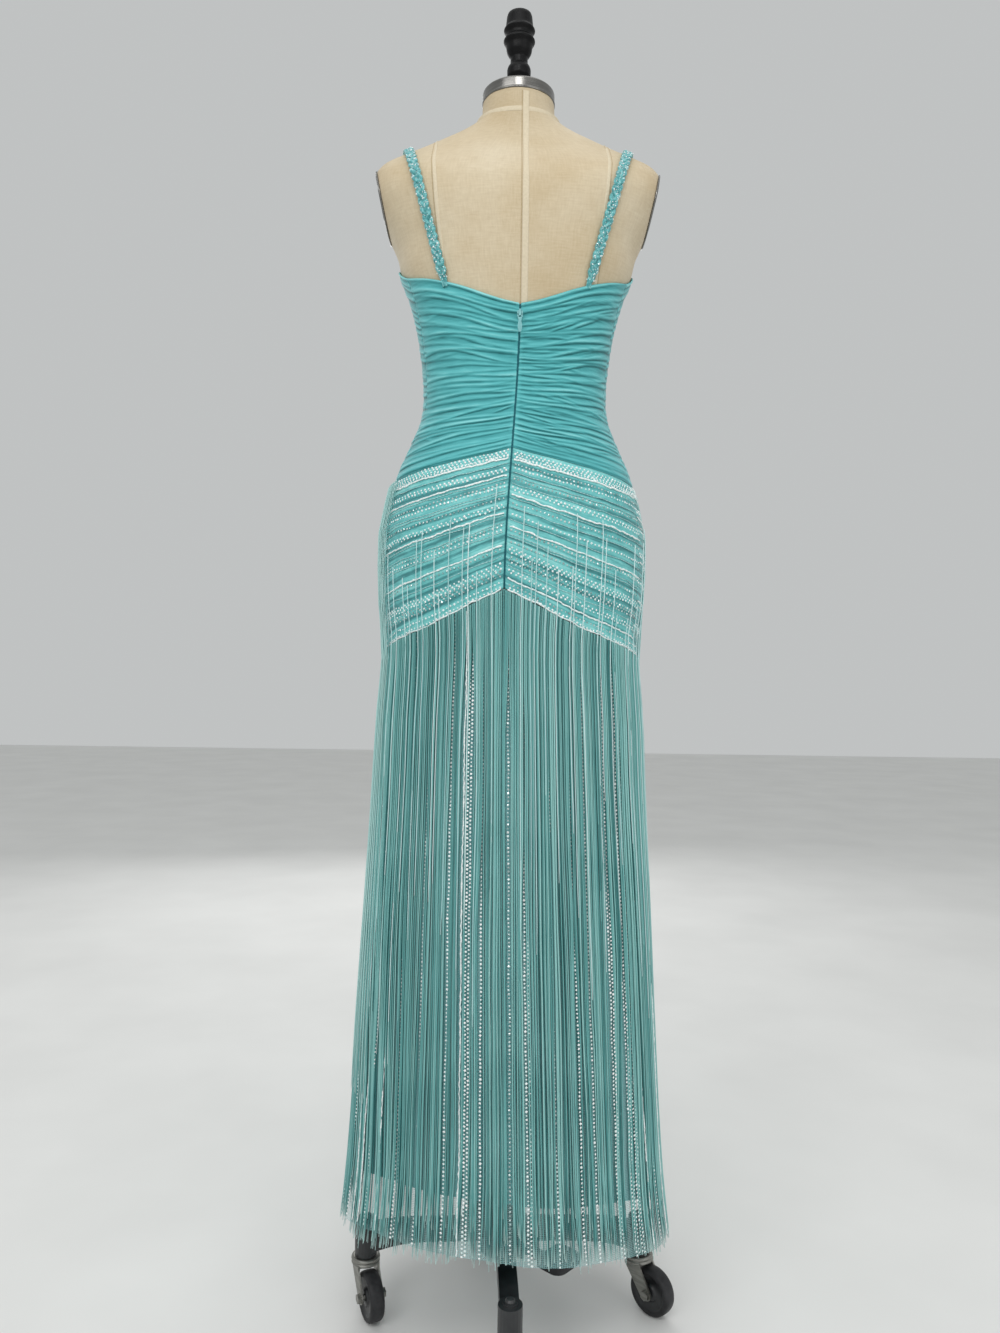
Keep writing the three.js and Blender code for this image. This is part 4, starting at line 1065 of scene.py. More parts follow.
# Lines of sequins and cord down the net: share of a turn, kind, how far the fringe parts in
# front of it in millimetres, and the height below which it works forward between the threads.
BACK_STRIPES = [
    (0.1930, "dots", 1.0, 420), (0.1790, "cord", 2.4, 430), (0.1700, "cord", 1.6, 380),
    (0.1590, "dots", 2.4, 460), (0.1430, "cord", 2.0, 400), (0.1200, "zigzag", 0.8, 300),
    (0.0950, "dots", 0.5, 250), (0.0640, "dots", 1.6, 760), (0.0475, "cord", 2.6, 1000),
    (0.0405, "zigzag", 2.6, 920), (0.0247, "dots", 2.2, 640), (-0.0068, "silver", 2.2, 860),
    (-0.0265, "zigzag", 1.6, 620), (-0.0560, "dots", 0.5, 300), (-0.0840, "dots", 1.0, 540),
    (-0.1010, "dots", 1.4, 460), (-0.1290, "zigzag", 2.6, 620), (-0.1480, "zigzag", 2.4, 520),
    (-0.1560, "zigzag", 2.0, 420), (-0.1730, "cord", 1.2, 360), (-0.1900, "dots", 1.0, 300),
]
FRONT_KINDS = ("dots", "cord", "dots", "zigzag", "silver", "dots")
FRONT_PARTED = (1.6, 2.2, 0.8, 2.4, 1.2, 1.8)
FRONT_STRIPES = [
    (0.2 + 0.6 * (i + 0.5) / 26, FRONT_KINDS[i % 6], FRONT_PARTED[i % 6], 520)
    for i in range(26)
]
STRIPES = BACK_STRIPES + FRONT_STRIPES
stripe_wander = Hills(63)


def stripe_path(around, spacing, forward, offset=0.0, phase=0.0):
    """Points down the net from just under the yoke to its hem."""
    top = float(skirt_top(around)) - 6
    bottom = float(mesh_hem_at(around)) + 2.5
    z = np.arange(top - phase * spacing, bottom, -spacing)
    shift = 0.9 * stripe_wander(around * 310, z / 38) + offset
    place = around + shift * turn_per_mm(z)
    ripple = net_drape(*on_circle(place)) * 0.4
    out = 3.1 + 2.3 * np.clip((forward - z) / 90, 0, 1)
    return on_gown(z, place, out + 0.5 * ripple)


CORD_STEPS = 140


def net_stripes():
    random = np.random.default_rng(64)
    rows = {"white": [], "silver": []}
    cord_paths, cord_normals, cord_radii = [], [], []
    for around, kind, _, forward in STRIPES:
        if kind == "cord":
            points, directions = stripe_path(around, 6.0, forward)
            numbers = np.arange(len(points))
            zigzag = 0.9 * (numbers % 2) - 0.45
            points = points + zigzag[:, None] * np.cross(directions, (0, 0, 1.0))
            places = np.linspace(0, 1, CORD_STEPS) * (len(points) - 1)
            cord_paths.append(between(places, numbers, points))
            cord_normals.append(between(places, numbers, directions))
            cord_radii.append(1.1 * (0.5 + 0.7 * random.uniform(0, 1, CORD_STEPS)))
            continue
        for row, offset in enumerate((-1.9, 1.9) if kind == "zigzag" else (0.0,)):
            line = stripe_path(around, 4.8, forward, offset, 0.5 * row)
            rows["silver" if kind == "silver" else "white"].append(line)
    made = []
    for key, material, base in (("white", WHITE_BEADS, 1.65), ("silver", SILVER_BEADS, 1.6)):
        centres, normals = joined(rows[key])
        radii = base * random.uniform(0.75, 1.2, len(centres))
        piece = bead_object(f"net_sequins_{key}", centres, normals, radii, 65, height=0.4)
        made.append(finished(piece, material, "mesh_cloth"))
    cords = tube_object("net_cords", np.stack(cord_paths), np.stack(cord_radii),
                        np.stack(cord_normals), 4)
    made.append(finished(cords, WHITE_CORD, "mesh_cloth"))
    return made


stripe_pieces = net_stripes()


# ---------------------------------------------------------------- fringe

clump = Hills(71)
clump_small = Hills(72)
sway = Hills(73)
own_sway = Hills(74)
window = Hills(75)
STRAND_SHARES = np.array([0, 0.03, 0.08, 0.14, 0.21, 0.29, 0.37, 0.45, 0.53, 0.61, 0.69, 0.77, 0.84,
                          0.9, 0.945, 0.975, 1.0])


# Where the fringe has swung aside lower down: middle, half width, shift in millimetres, height.
SWUNG = [
    (0.178, 0.022, -13, 620),
    (0.148, 0.014, -6, 420),
    (0.0440, 0.006, 6, 330),
    (-0.141, 0.018, 9, 560),
    (-0.185, 0.016, 6, 380),
]


def parting(around, z):
    """How far each strand leans aside, in millimetres, to show the sequins behind it."""
    shift = np.zeros(np.broadcast(around, z).shape)
    low = np.clip((930 - z) / 110, 0, 1)
    for i, (place, _, wide, forward) in enumerate(STRIPES):
        apart = (np.mod(around - place + 0.5, 1) - 0.5) * NET_ROUND
        shown = np.clip(0.5 + 1.1 * window(i * 3.7 + 0.5, z / 110), 0, 1)
        shown = np.maximum(shown * 0.6, np.clip((forward + 30 - z) / 90, 0, 1))
        shift = shift + np.sign(apart) * wide * 1.5 * low * shown * hump(apart, 7.0)
    for middle, half, aside, start in SWUNG:
        apart = np.mod(around - middle + 0.5, 1) - 0.5
        down = np.clip((start - z) / (start - 160), 0, 1)
        shift = shift + aside * ease(down) * hump(apart, half)
    return shift


def strands(name, around, top, bottom, out, thickness, tone_shift, seed, limits, spread=1.0):
    """Hanging threads: one for each entry of around, top, bottom and out, in one mesh."""
    random = np.random.default_rng(seed)
    count = len(around)
    share = STRAND_SHARES[None, :]
    z = top[:, None] + (bottom - top)[:, None] * share
    spine = around[:, None]
    hill = spine * HILL_COUNT
    loose = np.clip(share * 2.2, 0, 1)
    drift = 2.2 * clump(hill * 0.95, z / 260) + clump_small(hill * 2.6, z / 150)
    lean = random.normal(0, 1.5, count)[:, None] * share
    wobble = 0.6 * own_sway(np.arange(count)[:, None] * 1.37, z / 70)
    frayed = random.normal(0, 1.6, count)[:, None] * np.clip(share * 14 - 13, 0, 1)
    shift = spread * (loose * drift + lean + wobble * loose + parting(spine, z) + frayed)
    place = np.clip(spine + shift * turn_per_mm(z), *limits)
    depth = out[:, None] + 0.6 * sway(hill * 0.8, z / 200) * loose
    points, normals = on_gown(z, place, depth)
    taper = np.where(share > 0.96, 0.66, 1.0) * (1 - 0.3 * np.clip(share * 20 - 19, 0, 1))
    radii = thickness[:, None] * taper
    bright = 0.5 + 0.08 * clump(hill * 0.5 + 9, z / 300) + 0.08 * clump_small(spine * 180, z / 90)
    own = random.normal(0, 0.22, count) + tone_shift
    tone = np.clip(bright + own[:, None], 0, 1)
    drop = (top - bottom)[:, None]
    tip = np.clip((share * drop - drop + 16) / 12, 0, 1)
    values = {"tone": tone, "tip": tip * 0.8}
    return tube_object(name, points, radii, normals, 4, values)


def hanging(start, end, pitch, layers, seed, first_out):
    """Threads in layers: places, distances out, radii and layer shades. The inner ones are painted
    darker, as shade on the threads that hang behind.
    """
    random = np.random.default_rng(seed)
    around, out, thickness, layer_shade = [], [], [], []
    turn = 1 / FRINGE_ROUND
    for layer in range(layers):
        count = int((end - start) / turn / pitch)
        places = start + (end - start) * (np.arange(count) + 0.5 * (layer % 2) + 0.3) / count
        places = places + random.normal(0, 0.5, count) * turn
        around.append(np.clip(places, start + 0.1 * turn, end - 0.1 * turn))
        out.append(np.full(count, first_out + 0.95 * layer) + random.normal(0, 0.2, count))
        thickness.append(random.uniform(0.62, 0.98, count))
        # Painted shade: the inner layers, which hang behind the others, are darker.
        layer_shade.append(np.full(count, -0.5 + 0.58 * layer / max(1, layers - 1)))
    return [np.concatenate(column) for column in (around, out, thickness, layer_shade)]


SHORT_SHARE, STRAY_SHARE = 0.42, 0.03


def ragged(around, hem, seed):
    """Uneven cut ends: many threads stop short, in groups, and a few hang lower."""
    random = np.random.default_rng(seed)
    count = len(around)
    ends = hem(around) + 6 * clump_small(around * HILL_COUNT * 0.9, 7.5) + random.normal(0, 4.5, count)
    short = random.uniform(0, 1, count) < SHORT_SHARE
    ends = ends + short * random.uniform(8, 62, count)
    stray = random.uniform(0, 1, count) < STRAY_SHARE
    return ends - stray * random.uniform(4, 12, count)


FRINGE_PITCH, FRINGE_LAYERS, FRINGE_OUT, FRINGE_LOWEST = 2.35, 3, 3.5, 112
OVER_PITCH, OVER_LAYERS, OVER_OUT = 5.8, 2, 6.4


def skirt_fringe(name, start, end, seed, node):
    around, out, thickness, layer_shade = hanging(start, end, FRINGE_PITCH, FRINGE_LAYERS, seed, FRINGE_OUT)
    top = skirt_top(around) - 1.0
    bottom = np.maximum(ragged(around, fringe_hem_at, seed + 1), FRINGE_LOWEST)
    limits = (start + 0.0004, end - 0.0004)
    piece = strands(name, around, top, bottom, out, thickness, layer_shade, seed + 2, limits)
    return finished(piece, FRINGE, "fringe_thread", node)


fringe_left = skirt_fringe("fringe_left", 0, SIDE_SEAM, 81, "fringe_back_left")
fringe_right = skirt_fringe("fringe_right", 1 - SIDE_SEAM, 1, 82, "fringe_back_right")
fringe_front = skirt_fringe("fringe_front_skirt", SIDE_SEAM, 1 - SIDE_SEAM, 83, "fringe_front")

# The fringe that hangs from the front of the waist seam, over the yoke and the skirt. It is
# thinner, so that the embroidery shows through it.
OVER_FROM, OVER_TO = UPPER_FRINGE_FROM, UPPER_FRINGE_TO - 0.012
around, out, thickness, layer_shade = hanging(OVER_FROM, OVER_TO, OVER_PITCH, OVER_LAYERS, 84, OVER_OUT)
top = waist_seam_at(around) - 2.5
bottom = ragged(around, lambda a: waist_seam_at(a) - UPPER_FRINGE_LENGTH, 85)
# The over-fringe is painted lighter: its layer tones are lifted by 0.3 and its thread is a lighter copy
# of the fringe thread.
fringe_upper = strands("fringe_over", around, top, bottom, out, thickness * 0.8, layer_shade + 0.3, 86,
                       (OVER_FROM, OVER_TO), spread=0.5)
finished(fringe_upper, LIT_FRINGE, "fringe_thread", "fringe_upper")


def loose_threads(name, start, end, count, seed):
    """Single pale threads sewn here and there on the yoke, which hang over the fringe."""
    random = np.random.default_rng(seed)
    around = start + (end - start) * (np.arange(count) + random.uniform(0.1, 0.9, count)) / count
    share = random.uniform(0.22, 0.85, count)
    top = down_yoke(around, share)
    bottom = top - random.uniform(300, 640, count)
    out = np.full(count, 5.9)
    thickness = np.full(count, 0.62)
    piece = strands(name, around, top, bottom, out, thickness, np.zeros(count), seed + 1,
                    (start - 0.004, end + 0.004), 0.5)
    return finished(piece, PALE_THREAD, "fringe_thread")


loose_left = loose_threads("loose_threads_left", 0.012, SIDE_SEAM + 0.02, 17, 91)
loose_right = loose_threads("loose_threads_right", 1 - SIDE_SEAM - 0.04, 0.988, 18, 93)


# ---------------------------------------------------------------- zip

def zip_strip():
    """The coil and tape between the two backs, with a ridge for each turn of the coil."""
    pitch = 1.6
    z = np.arange(neckline_at(0) - 1, yoke_hem_at(0) + 1, -pitch / 4)[:, None]
    across = np.array([-1.7, -1.2, -0.6, 0.0, 0.6, 1.2, 1.7])[None, :]
    crown = np.array([0.25, 1.1, 1.3, 0.95, 1.3, 1.1, 0.25])[None, :]
    turn = np.sin(TAU * z / pitch + (across > 0) * math.pi)
    out = crown + 0.22 * turn * (np.abs(across) > 0.3) * (np.abs(across) < 1.5)
    points, _ = on_gown(np.broadcast_to(z, out.shape), 0.0, out, across)
    uvs = np.stack(np.broadcast_arrays(across * MM, z * MM), axis=-1)
    return mesh_object("zip_coil", points, grid_faces(*out.shape), uvs)


zip_coil = finished(zip_strip(), ZIP_TAPE, "zip_tape", "zip_tape")


# ---------------------------------------------------------------- straps

# The strap's plane behind and in front: its distance from the middle, at a height, and its lean.
STRAP_HUB = 1480
STRAP_BACK = (94.4, 1383, 0.279)
STRAP_FRONT = (108, 1476, 0.38)
BRAID_PITCH, BRAID_SWING, STRAND_SIDES = 33, 4.4, 10
STRAP_STEPS, STRAP_BEADS, STRAP_TUCK = 300, 620, 11
STRAP_FARTHEST, HALVINGS = 260.0, 34
bead_scatter = Hills(95)


def strand_lift(phase):
    """How high a strand of the braid rides where it is that far through its turn."""
    return 1.9 + 0.9 * np.sin(2 * phase)


def strap_points(sweeps):
    """Points of the figure along the strap's leaning upright plane, swept about the shoulder."""
    near = np.zeros(len(sweeps))
    far = np.full(len(sweeps), STRAP_FARTHEST)
    for _ in range(HALVINGS):
        reach = (near + far) / 2
        x, y, z = strap_plane(sweeps, reach)
        bared = np.where(y >= 0, y, np.minimum(0, y + bust_at(x, z)))
        inside = squareness(x, bared, z) < 1
        near = np.where(inside, reach, near)
        far = np.where(inside, far, reach)
    return np.stack(strap_plane(sweeps, near), axis=-1)


def strap_plane(sweeps, reach):
    y = reach * np.cos(sweeps)
    z = STRAP_HUB + reach * np.sin(sweeps)
    behind = STRAP_BACK[0] + STRAP_BACK[2] * (z - STRAP_BACK[1])
    before = STRAP_FRONT[0] + STRAP_FRONT[2] * (z - STRAP_FRONT[1])
    return np.where(y >= 0, behind, before), y, z


def figure_outward(points):
    """The way out of the figure at each point, found from small steps each way."""
    x, y, z = points.T
    step = 0.5
    slope = np.stack([
        squareness(x + step, y, z) - squareness(x - step, y, z),
        squareness(x, y + step, z) - squareness(x, y - step, z),
        squareness(x, y, z + step) - squareness(x, y, z - step),
    ], axis=-1)
    return unit(slope)


def evened(points, steps):
    """The same path in equal steps, and its length."""
    length = path_lengths(points)
    return between(np.linspace(0, length[-1], steps), length, points), length[-1]


def strap_route():
    """The strap's middle line on the shoulder, with its outward and sideways directions."""
    sweeps = np.linspace(-0.95, 3.3, 700)
    points = strap_points(sweeps)
    behind = points[:, 1] >= 0
    kept = points[:, 2] >= np.where(behind, STRAP_BACK[1], STRAP_FRONT[1]) - STRAP_TUCK
    route, length = evened(points[kept], STRAP_STEPS)
    outward = figure_outward(route)
    ahead = unit(np.gradient(route, axis=0))
    outward = unit(outward - np.sum(outward * ahead, axis=1, keepdims=True) * ahead)
    return route, outward, np.cross(ahead, outward), length


def strap(side, name):
    route, outward, across, length = strap_route()
    turn = TAU * np.linspace(0, length, len(route)) / BRAID_PITCH
    mirror = np.array([side, 1, 1])
    # The braid's ends thin out where they go in behind the neckline.
    numbers = np.arange(STRAP_STEPS)
    ends = np.clip(np.minimum(numbers, numbers[::-1]) / 14, 0.35, 1)
    paths, normals, radii = [], [], []
    for k in range(3):
        phase = turn + TAU * k / 3
        sideways = BRAID_SWING * np.sin(phase)
        up = strand_lift(phase)
        path = route + (sideways * ends)[:, None] * across + (up * ends)[:, None] * outward
        paths.append(path * mirror)
        normals.append(outward * mirror)
        radii.append(2.9 * (0.85 + 0.15 * ends) + 0.25 * bead_scatter(turn * 1.3, k * 5.0))
    piece = tube_object(f"strap_{name}_braid", np.stack(paths), np.stack(radii), np.stack(normals),
                        STRAND_SIDES)
    # Squash the round strands flat against the shoulder.
    co = np.empty(len(piece.data.vertices) * 3)
    piece.data.vertices.foreach_get("co", co)
    co = co.reshape(3, STRAP_STEPS, STRAND_SIDES, 3) / MM
    middle = (route * mirror)[None, :, None, :]
    normal = (outward * mirror)[None, :, None, :]
    lift = np.sum((co - middle) * normal, axis=-1, keepdims=True)
    lowered = np.maximum(lift * 0.78 + 0.6, 0.35)
    co = co + (lowered - lift) * normal
    piece.data.vertices.foreach_set("co", (co * MM).ravel())
    piece.data.update()
    finished(piece, BRAID, "strap_braid", f"strap_{name}")

    random = np.random.default_rng(96 + side)
    count = STRAP_BEADS
    low = random.uniform(6, 293, count).astype(int)
    sideways = random.uniform(-6.6, 6.6, count)
    phase = turn[low][:, None] + TAU * np.arange(3)[None, :] / 3
    apart = sideways[:, None] - BRAID_SWING * np.sin(phase)
    heights = strand_lift(phase) + np.sqrt(np.clip(8.4 - apart ** 2, 0, None))
    up = heights.max(axis=1) * 0.78 + 0.75
    centres = (route[low] + sideways[:, None] * across[low] + up[:, None] * outward[low]) * mirror
    normals = outward[low] * mirror
    radii = 0.45 + 0.85 * random.uniform(0, 1, count) ** 2
    white = random.uniform(0, 1, count) < 0.65
    pieces = [piece]
    for key, chosen, material in (("beads", white, WHITE_BEADS), ("foils", ~white, SILVER_BEADS)):
        beads = bead_object(f"strap_{name}_{key}", centres[chosen], normals[chosen], radii[chosen], 97)
        pieces.append(finished(beads, material, "strap_braid"))
    return pieces


strap_left = strap(1, "left")
strap_right = strap(-1, "right")


# ---------------------------------------------------------------- the dress form

PLATE_X, PLATE_Z, PLATE_TILT = 172.5, 1462, math.radians(11.3)
ARMHOLE_LOW, ARMHOLE_HIGH, RIM_RADIUS = 1440, 1592, 1.2
linen_slow = Hills(101)


def plate_edge_x(z):
    """How far out the flat of the armhole lies at each height."""
    return PLATE_X + (z - PLATE_Z) * math.tan(PLATE_TILT)


def torso():
    """The linen shell: smooth, closed underneath, cut flat at the armholes."""
    rows = np.concatenate([np.arange(900, 1420, 6), np.arange(1420, 1652, 3), [1652]])[::-1]
    columns = np.linspace(0, 1, 300, endpoint=False)
    z, around = np.meshgrid(rows, columns, indexing="ij")
    soft = 0.25 * linen_slow(np.cos(TAU * around) * 6 + 20, z / 60)
    points, _ = on_gown(z, around, TORSO_OUT + soft)
    in_plate = (z > ARMHOLE_LOW) & (z < ARMHOLE_HIGH)
    limit = np.where(in_plate, plate_edge_x(z), 1e6)
    points[..., 0] = np.clip(points[..., 0], -limit, limit)
    bottom = points[-1]
    middle = bottom.mean(axis=0)
    closing = [middle + (bottom - middle) * share for share in (0.97, 0.6, 0.25, 0.01)]
    points = np.concatenate([points, np.stack(closing)])
    u = np.concatenate([around, around[-4:]]) * 0.95
    v = np.concatenate([z, z[-4:]]) * MM
    uvs = np.stack([u, v], axis=-1)
    return mesh_object("torso_linen", points, grid_faces(len(points), len(columns), closed=True), uvs)


finished(torso(), LINEN, "linen", "form_torso")


def around_at(z, x, front):
    """The share of a turn where the figure's section at height z is x mm from the middle."""
    places = np.linspace(0.5, 0.25, 121) if front else np.linspace(0, 0.25, 121)
    return np.array([np.interp(reach, figure_frame(height, places)[0], places)
                     for height, reach in zip(z, x)])


def ribbon(name, z, around, width, thick, material):
    """A sewn tape or seam along a path on the linen."""
    points, normals = on_gown(z, around, TORSO_OUT)
    across = np.cross(unit(np.gradient(points, axis=0)), normals)
    profile = [(-0.5, -0.5), (-0.5, 0.75), (-0.3, 1.0), (0, 1.05), (0.3, 1.0), (0.5, 0.75), (0.5, -0.5)]
    edges = [points + across * width * s + normals * thick * h for s, h in profile]
    length = path_lengths(points) * MM
    uvs = [np.stack([np.full(len(points), s * width * MM), length], axis=-1) for s, _ in profile]
    grid = np.stack(edges, axis=1)
    piece = mesh_object(name, grid, grid_faces(len(points), len(profile))[:, ::-1],
                        np.stack(uvs, axis=1))
    return finished(piece, material, "linen")


# A seam is drawn as a darker strip: painted shade.
def seam_line(name, z, around, width=1.1, thick=0.45):
    ribbon(f"seam_{name}", z, around, width, thick, SEAM_SHADE)


def leaning_path(start, end, heights, reaches, front=False):
    """Heights from start to end, and the places round the figure that far from its middle."""
    z = np.arange(start, end, SEAM_STEP)
    return z, around_at(z, np.interp(z, heights, reaches), front)


SEAM_STEP = 4.0
seam_z = np.arange(1340.0, 1652, SEAM_STEP)
# The centre back has a seam with a strip of twill tape along its right side.
seam_line("centre_back", seam_z, np.zeros(len(seam_z)), 1.2, 0.5)
ribbon("tape_centre_back", seam_z, -5.4 * turn_per_mm(seam_z), 8.6, 0.55, TWILL)
seam_z = np.arange(1420.0, 1652, SEAM_STEP)
seam_line("centre_front", seam_z, np.full(len(seam_z), 0.5), 1.2, 0.5)
for side, side_name in ((1, "left"), (-1, "right")):
    z, around = leaning_path(1352, 1592, [1340, 1400, 1480, 1540, 1592], [98, 104, 113, 118, 117])
    seam_line(f"shoulder_{side_name}", z, around * side)
    tape_around = around * side - 1.8 * side * turn_per_mm(z) * 1.9
    ribbon(f"tape_shoulder_{side_name}", z, tape_around, 5.2, 0.4, TWILL)
    z, around = leaning_path(1436, 1590, [1430, 1500, 1560, 1592], [92, 96, 102, 106], True)
    seam_line(f"front_{side_name}", z, around * side)

NECK_STEPS = 121
ribbon("band_neck", np.full(NECK_STEPS, 1624.0), np.linspace(0, 1, NECK_STEPS), 6.5, 0.45, TWILL)


def armhole_rim(side, name):
    """The rolled edge round an armhole's flat, along the cut through the torso."""
    z = np.linspace(ARMHOLE_LOW, ARMHOLE_HIGH, 500)
    places = np.linspace(0, 0.5, 401)
    back, front = [], []
    for height, limit in zip(z, plate_edge_x(z)):
        x, y, _, _ = figure_frame(height, places)
        outside = np.flatnonzero(x + TORSO_OUT > limit)
        if len(outside):
            back.append((limit, y[outside[0]], height))
            front.append((limit, y[outside[-1]], height))
    loop = np.array(back + front[::-1])
    loop = np.concatenate([loop, loop[:1]])
    route, _ = evened(loop, 160)
    # Soften the corners where the two sides of the cut meet.
    for _ in range(3):
        middle = (np.roll(route[:-1], 1, axis=0) + 2 * route[:-1] + np.roll(route[:-1], -1, axis=0)) / 4
        route = np.concatenate([middle, middle[:1]])
    outward = np.tile([math.cos(PLATE_TILT), 0, -math.sin(PLATE_TILT)], (len(route), 1))
    mirror = np.array([side, 1, 1])
    path = (route + outward * RIM_RADIUS) * mirror
    piece = tube_object(f"armhole_rim_{name}", path[None], np.full((1, len(route)), RIM_RADIUS),
                        (outward * mirror)[None], 8)
    return finished(piece, CAP_STEEL, "cap_steel")


armhole_rim(1, "left")
armhole_rim(-1, "right")

# Brushed steel neck cap with rolled edges, and the turned finial on it.
CAP_BOTTOM, CAP_TOP, CAP_RADIUS = 1652.3, 1668.5, 50
cap_profile = [
    (0.5, CAP_BOTTOM), (CAP_RADIUS - 0.8, CAP_BOTTOM), (CAP_RADIUS, CAP_BOTTOM + 0.8),
    (CAP_RADIUS, CAP_BOTTOM + 2.6), (CAP_RADIUS - 0.6, CAP_BOTTOM + 3.2),
    (CAP_RADIUS - 0.6, CAP_BOTTOM + 3.6), (CAP_RADIUS - 0.6, CAP_TOP - 2.9),
    (CAP_RADIUS - 0.65, CAP_TOP - 2.4), (CAP_RADIUS - 0.95, CAP_TOP - 1.2),
    (CAP_RADIUS - 1.8, CAP_TOP - 0.3),
    (CAP_RADIUS - 3.2, CAP_TOP), (30, CAP_TOP + 0.2), (18, CAP_TOP + 0.2), (0.5, CAP_TOP + 0.2),
]
finished(lathe_object("neck_cap_turned", cap_profile, 96), CAP_STEEL, "cap_steel", "neck_cap")

FINIAL = np.array([
    (0.3, 14), (6, 15.5), (13, 13), (20, 13), (26, 16), (33, 16.3), (38, 15), (42.5, 12),
    (50, 11.8), (54, 14.5), (59, 17), (67, 18.4), (73.5, 21.7), (80, 18.1), (82.5, 18.2),
    (88.3, 21.5), (92.5, 19.2), (100, 18.2), (107, 17.4), (110.5, 16.2),
])
FINIAL_TOP = 1779
finial_radius = curve_through(FINIAL, 1)
finial_scale = (FINIAL_TOP - CAP_TOP) / FINIAL[-1, 0]
ups = np.linspace(0.3, FINIAL[-1, 0], 130)
finial_profile = [(0.5, CAP_TOP + 0.3 * finial_scale)]
finial_profile += list(zip(finial_radius(ups), CAP_TOP + ups * finial_scale))
finial_profile += [(12.6, FINIAL_TOP - 0.05), (0.5, FINIAL_TOP)]
finished(lathe_object("finial_turned", finial_profile, 64), BLACK_WOOD, "black_wood", "finial")


# ---------------------------------------------------------------- the stand

WELD_REACH, SHARP_EDGE = 0.00005, math.radians(35)


def softened(node, width, material):
    """Rounds a CAD node's edges with modifiers and gives it a material."""
    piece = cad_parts[node]
    piece.data.materials.clear()
    piece.data.materials.append(material)
    weld = piece.modifiers.new("weld", "WELD")
    weld.merge_threshold = WELD_REACH
    if width:
        bevel = piece.modifiers.new("edges", "BEVEL")
        bevel.width = width * MM
        bevel.segments = 2
        bevel.limit_method = "ANGLE"
        bevel.angle_limit = SHARP_EDGE


for node, width, material in (
    ("arm_plate_left", 0, CAP_STEEL), ("arm_plate_right", 0, CAP_STEEL),
    ("pole", 0.8, CASTER_STEEL), ("column", 0.8, BLACK_PAINT), ("column_collar", 0.8, BLACK_PAINT),
    ("hub", 0.8, BLACK_PAINT), ("pedal_arm", 0.8, BLACK_PAINT), ("pedal_pad", 0.6, RUBBER),
    ("zip_slider", 0.4, ZIP_METAL), ("zip_pull", 0.3, ZIP_METAL),
):
    softened(node, width, material)

LEG_REACH, BASE_TURN, CASTER_TRAIL, WHEEL_RADIUS = 188, 2.3, 24, 32
LEGS = {"left": (0, 116), "back": (90, 200), "right": (180, 135), "front": (270, 20)}
AXLE_Z = WHEEL_RADIUS * math.cos(math.pi / 20)

TYRE = [
    (24.2, -9.2), (27, -10.2), (29.4, -9.4), (30.9, -7.4), (31.5, -4), (31.6, 0),
    (31.5, 4), (30.9, 7.4), (29.4, 9.4), (27, 10.2), (24.2, 9.2),
]
RIM = [
    (4.4, -9.4), (9.6, -9.4), (10.6, -8.6), (11.4, -6.8), (14, -6.2), (21.5, -6.6), (23.4, -8.6),
    (24.9, -9.3), (24.9, 9.3), (23.4, 8.6), (21.5, 6.6), (14, 6.2), (11.4, 6.8), (10.6, 8.6),
    (9.6, 9.4), (4.4, 9.4), (4.4, -9.4),
]


SWIVEL_RING = [
    (17.2, 65.6), (18.6, 65.9), (19.3, 67.2), (18.6, 68.6), (17.6, 69.2), (17.6, 70.2),
    (18.9, 70.8), (19.6, 72.3), (18.9, 74.6), (17.2, 75.5),
]


def turned_at(piece, angle, x, y, z):
    """Moves a piece's own points: a turn about the upright axis, then a shift, in millimetres."""
    piece.data.transform(Matrix.Translation((x * MM, y * MM, z * MM)) @ Matrix.Rotation(angle, 4, "Z"))


for name, (turn, caster) in LEGS.items():
    softened(f"leg_{name}", 1.0, BLACK_PAINT)
    softened(f"fork_{name}", 0.5, CASTER_STEEL)
    leg_angle = math.radians(BASE_TURN + turn)
    swivel_x = LEG_REACH * math.cos(leg_angle)
    swivel_y = LEG_REACH * math.sin(leg_angle)
    caster_angle = math.radians(caster)
    axle_x = swivel_x + CASTER_TRAIL * math.cos(caster_angle)
    axle_y = swivel_y + CASTER_TRAIL * math.sin(caster_angle)
    tyre = lathe_object(f"tyre_{name}", TYRE, 64, axis="y")
    turned_at(tyre, caster_angle, axle_x, axle_y, AXLE_Z)
    finished(tyre, RUBBER, "rubber", f"wheel_{name}", body=f"roller_{name}")
    rim = lathe_object(f"rim_{name}", RIM, 48, axis="y")
    turned_at(rim, caster_angle, axle_x, axle_y, AXLE_Z)
    finished(rim, BLACK_PAINT, "rubber", body=f"roller_{name}")
    ring = lathe_object(f"swivel_ring_{name}", SWIVEL_RING, 48)
    turned_at(ring, 0, swivel_x, swivel_y, 0)
    finished(ring, CASTER_STEEL, "caster_steel", body=f"caster_{name}")


# ---------------------------------------------------------------- stage, lights and camera

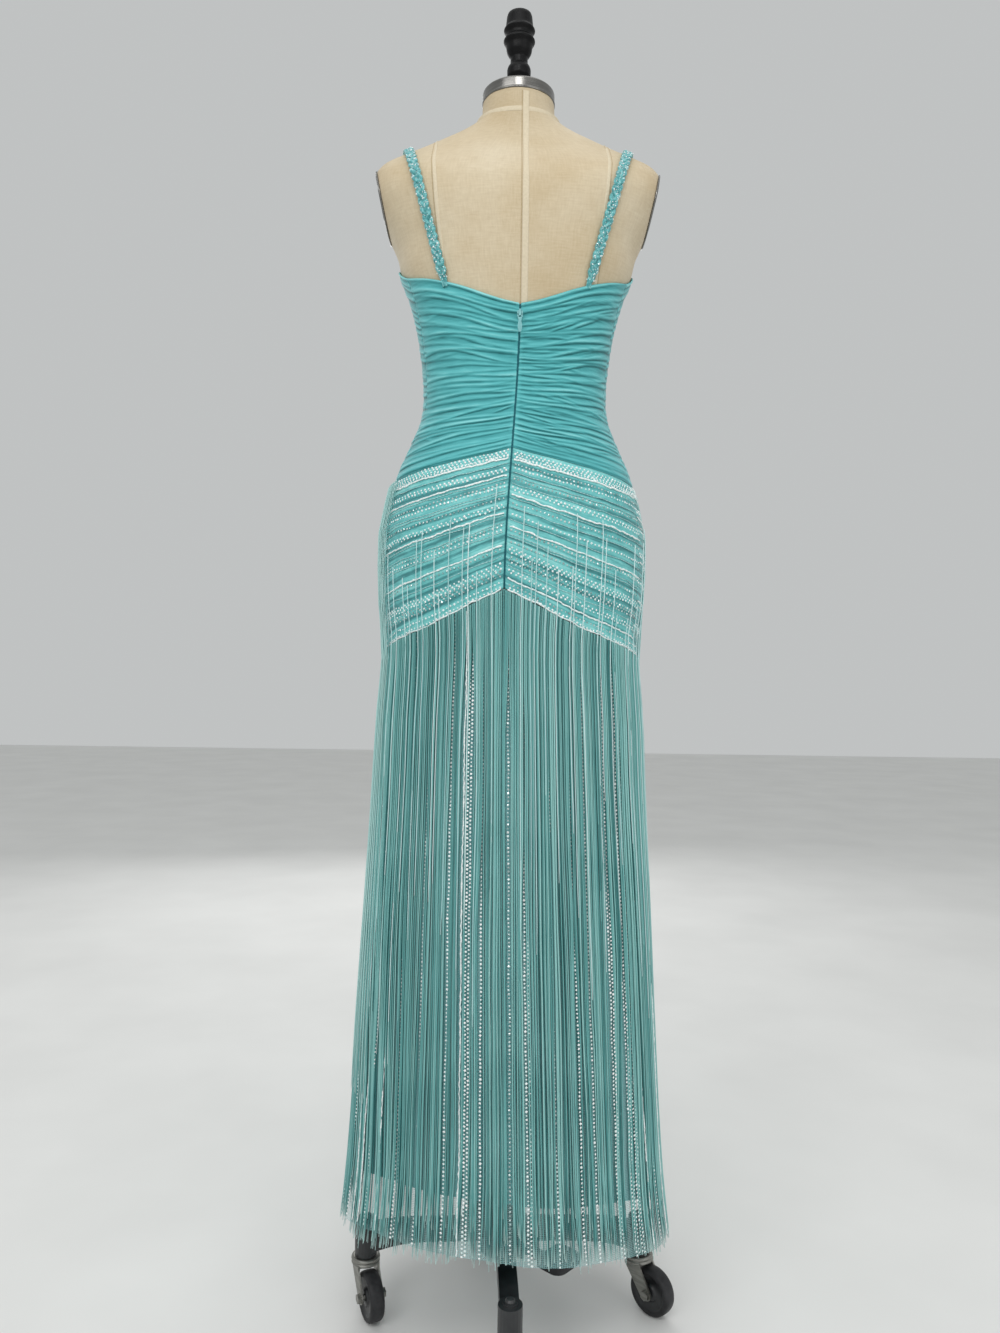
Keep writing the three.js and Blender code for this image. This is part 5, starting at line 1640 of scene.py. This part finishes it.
FLOOR_REACH = 9000
floor_points = [(-FLOOR_REACH, FLOOR_REACH, 0), (FLOOR_REACH, FLOOR_REACH, 0),
                (FLOOR_REACH, -FLOOR_REACH, 0), (-FLOOR_REACH, -FLOOR_REACH, 0)]
floor = mesh_object("floor", floor_points, [(0, 3, 2, 1)], smooth=False)
floor_paint = Finish("floor_paint", Specular_IOR_Level=0.2)
floor_paint.color(floor_paint.noise(3), (0.3, 226, 226, 224), (0.7, 232, 232, 230))
floor_paint.rough(floor_paint.noise(8), 0.3, 0.7, 0.75, 0.85)
floor.data.materials.append(floor_paint.material)


def area_light(name, place, target, size, power):
    light = bpy.data.lights.new(name, "AREA")
    light.shape = "RECTANGLE"
    light.size, light.size_y = size
    light.energy = power
    holder = bpy.data.objects.new(name, light)
    bpy.context.collection.objects.link(holder)
    away = unit(np.subtract(place, target))
    side = unit(np.cross((0, 0, 1), away))
    up = np.cross(away, side)
    holder.matrix_world = Matrix((
        (side[0], up[0], away[0], place[0]),
        (side[1], up[1], away[1], place[1]),
        (side[2], up[2], away[2], place[2]),
        (0, 0, 0, 1),
    ))


area_light("key", (1.5, 2.4, 2.7), (0, 0, 1.1), (1.6, 1.6), 22)
area_light("fill", (-2.0, 2.1, 1.7), (0, 0, 0.9), (1.8, 2.4), 14)
area_light("top", (0, 0.3, 3.6), (0, 0, 1.0), (2.6, 2.6), 15)
area_light("front_fill", (0.4, -2.8, 1.9), (0, 0, 0.9), (2.4, 2.4), 24)
area_light("panel", (0.02, 2.2, 2.95), (0, 0, 1.6), (0.8, 0.8), 15)

world = bpy.data.worlds.new("studio")
world.use_nodes = True
background = world.node_tree.nodes["Background"]
background.inputs["Color"].default_value = (0.80, 0.82, 0.82, 1)
background.inputs["Strength"].default_value = 0.66
scene = bpy.context.scene
scene.world = world
scene.view_settings.view_transform = "Standard"

CAMERA_PLACE, CAMERA_LENS, CAMERA_ROLL = (0.015, 1.377, 0.882), 27.0, math.radians(0.78)
camera_data = bpy.data.cameras.new("camera")
camera_data.lens = CAMERA_LENS
camera_data.sensor_width = 36.0
camera = bpy.data.objects.new("camera", camera_data)
bpy.context.collection.objects.link(camera)
level = Matrix.Rotation(math.pi, 4, "Z") @ Matrix.Rotation(math.pi / 2, 4, "X")
camera.matrix_world = (Matrix.Translation(CAMERA_PLACE) @ level
                       @ Matrix.Rotation(CAMERA_ROLL, 4, "Z"))
scene.camera = camera
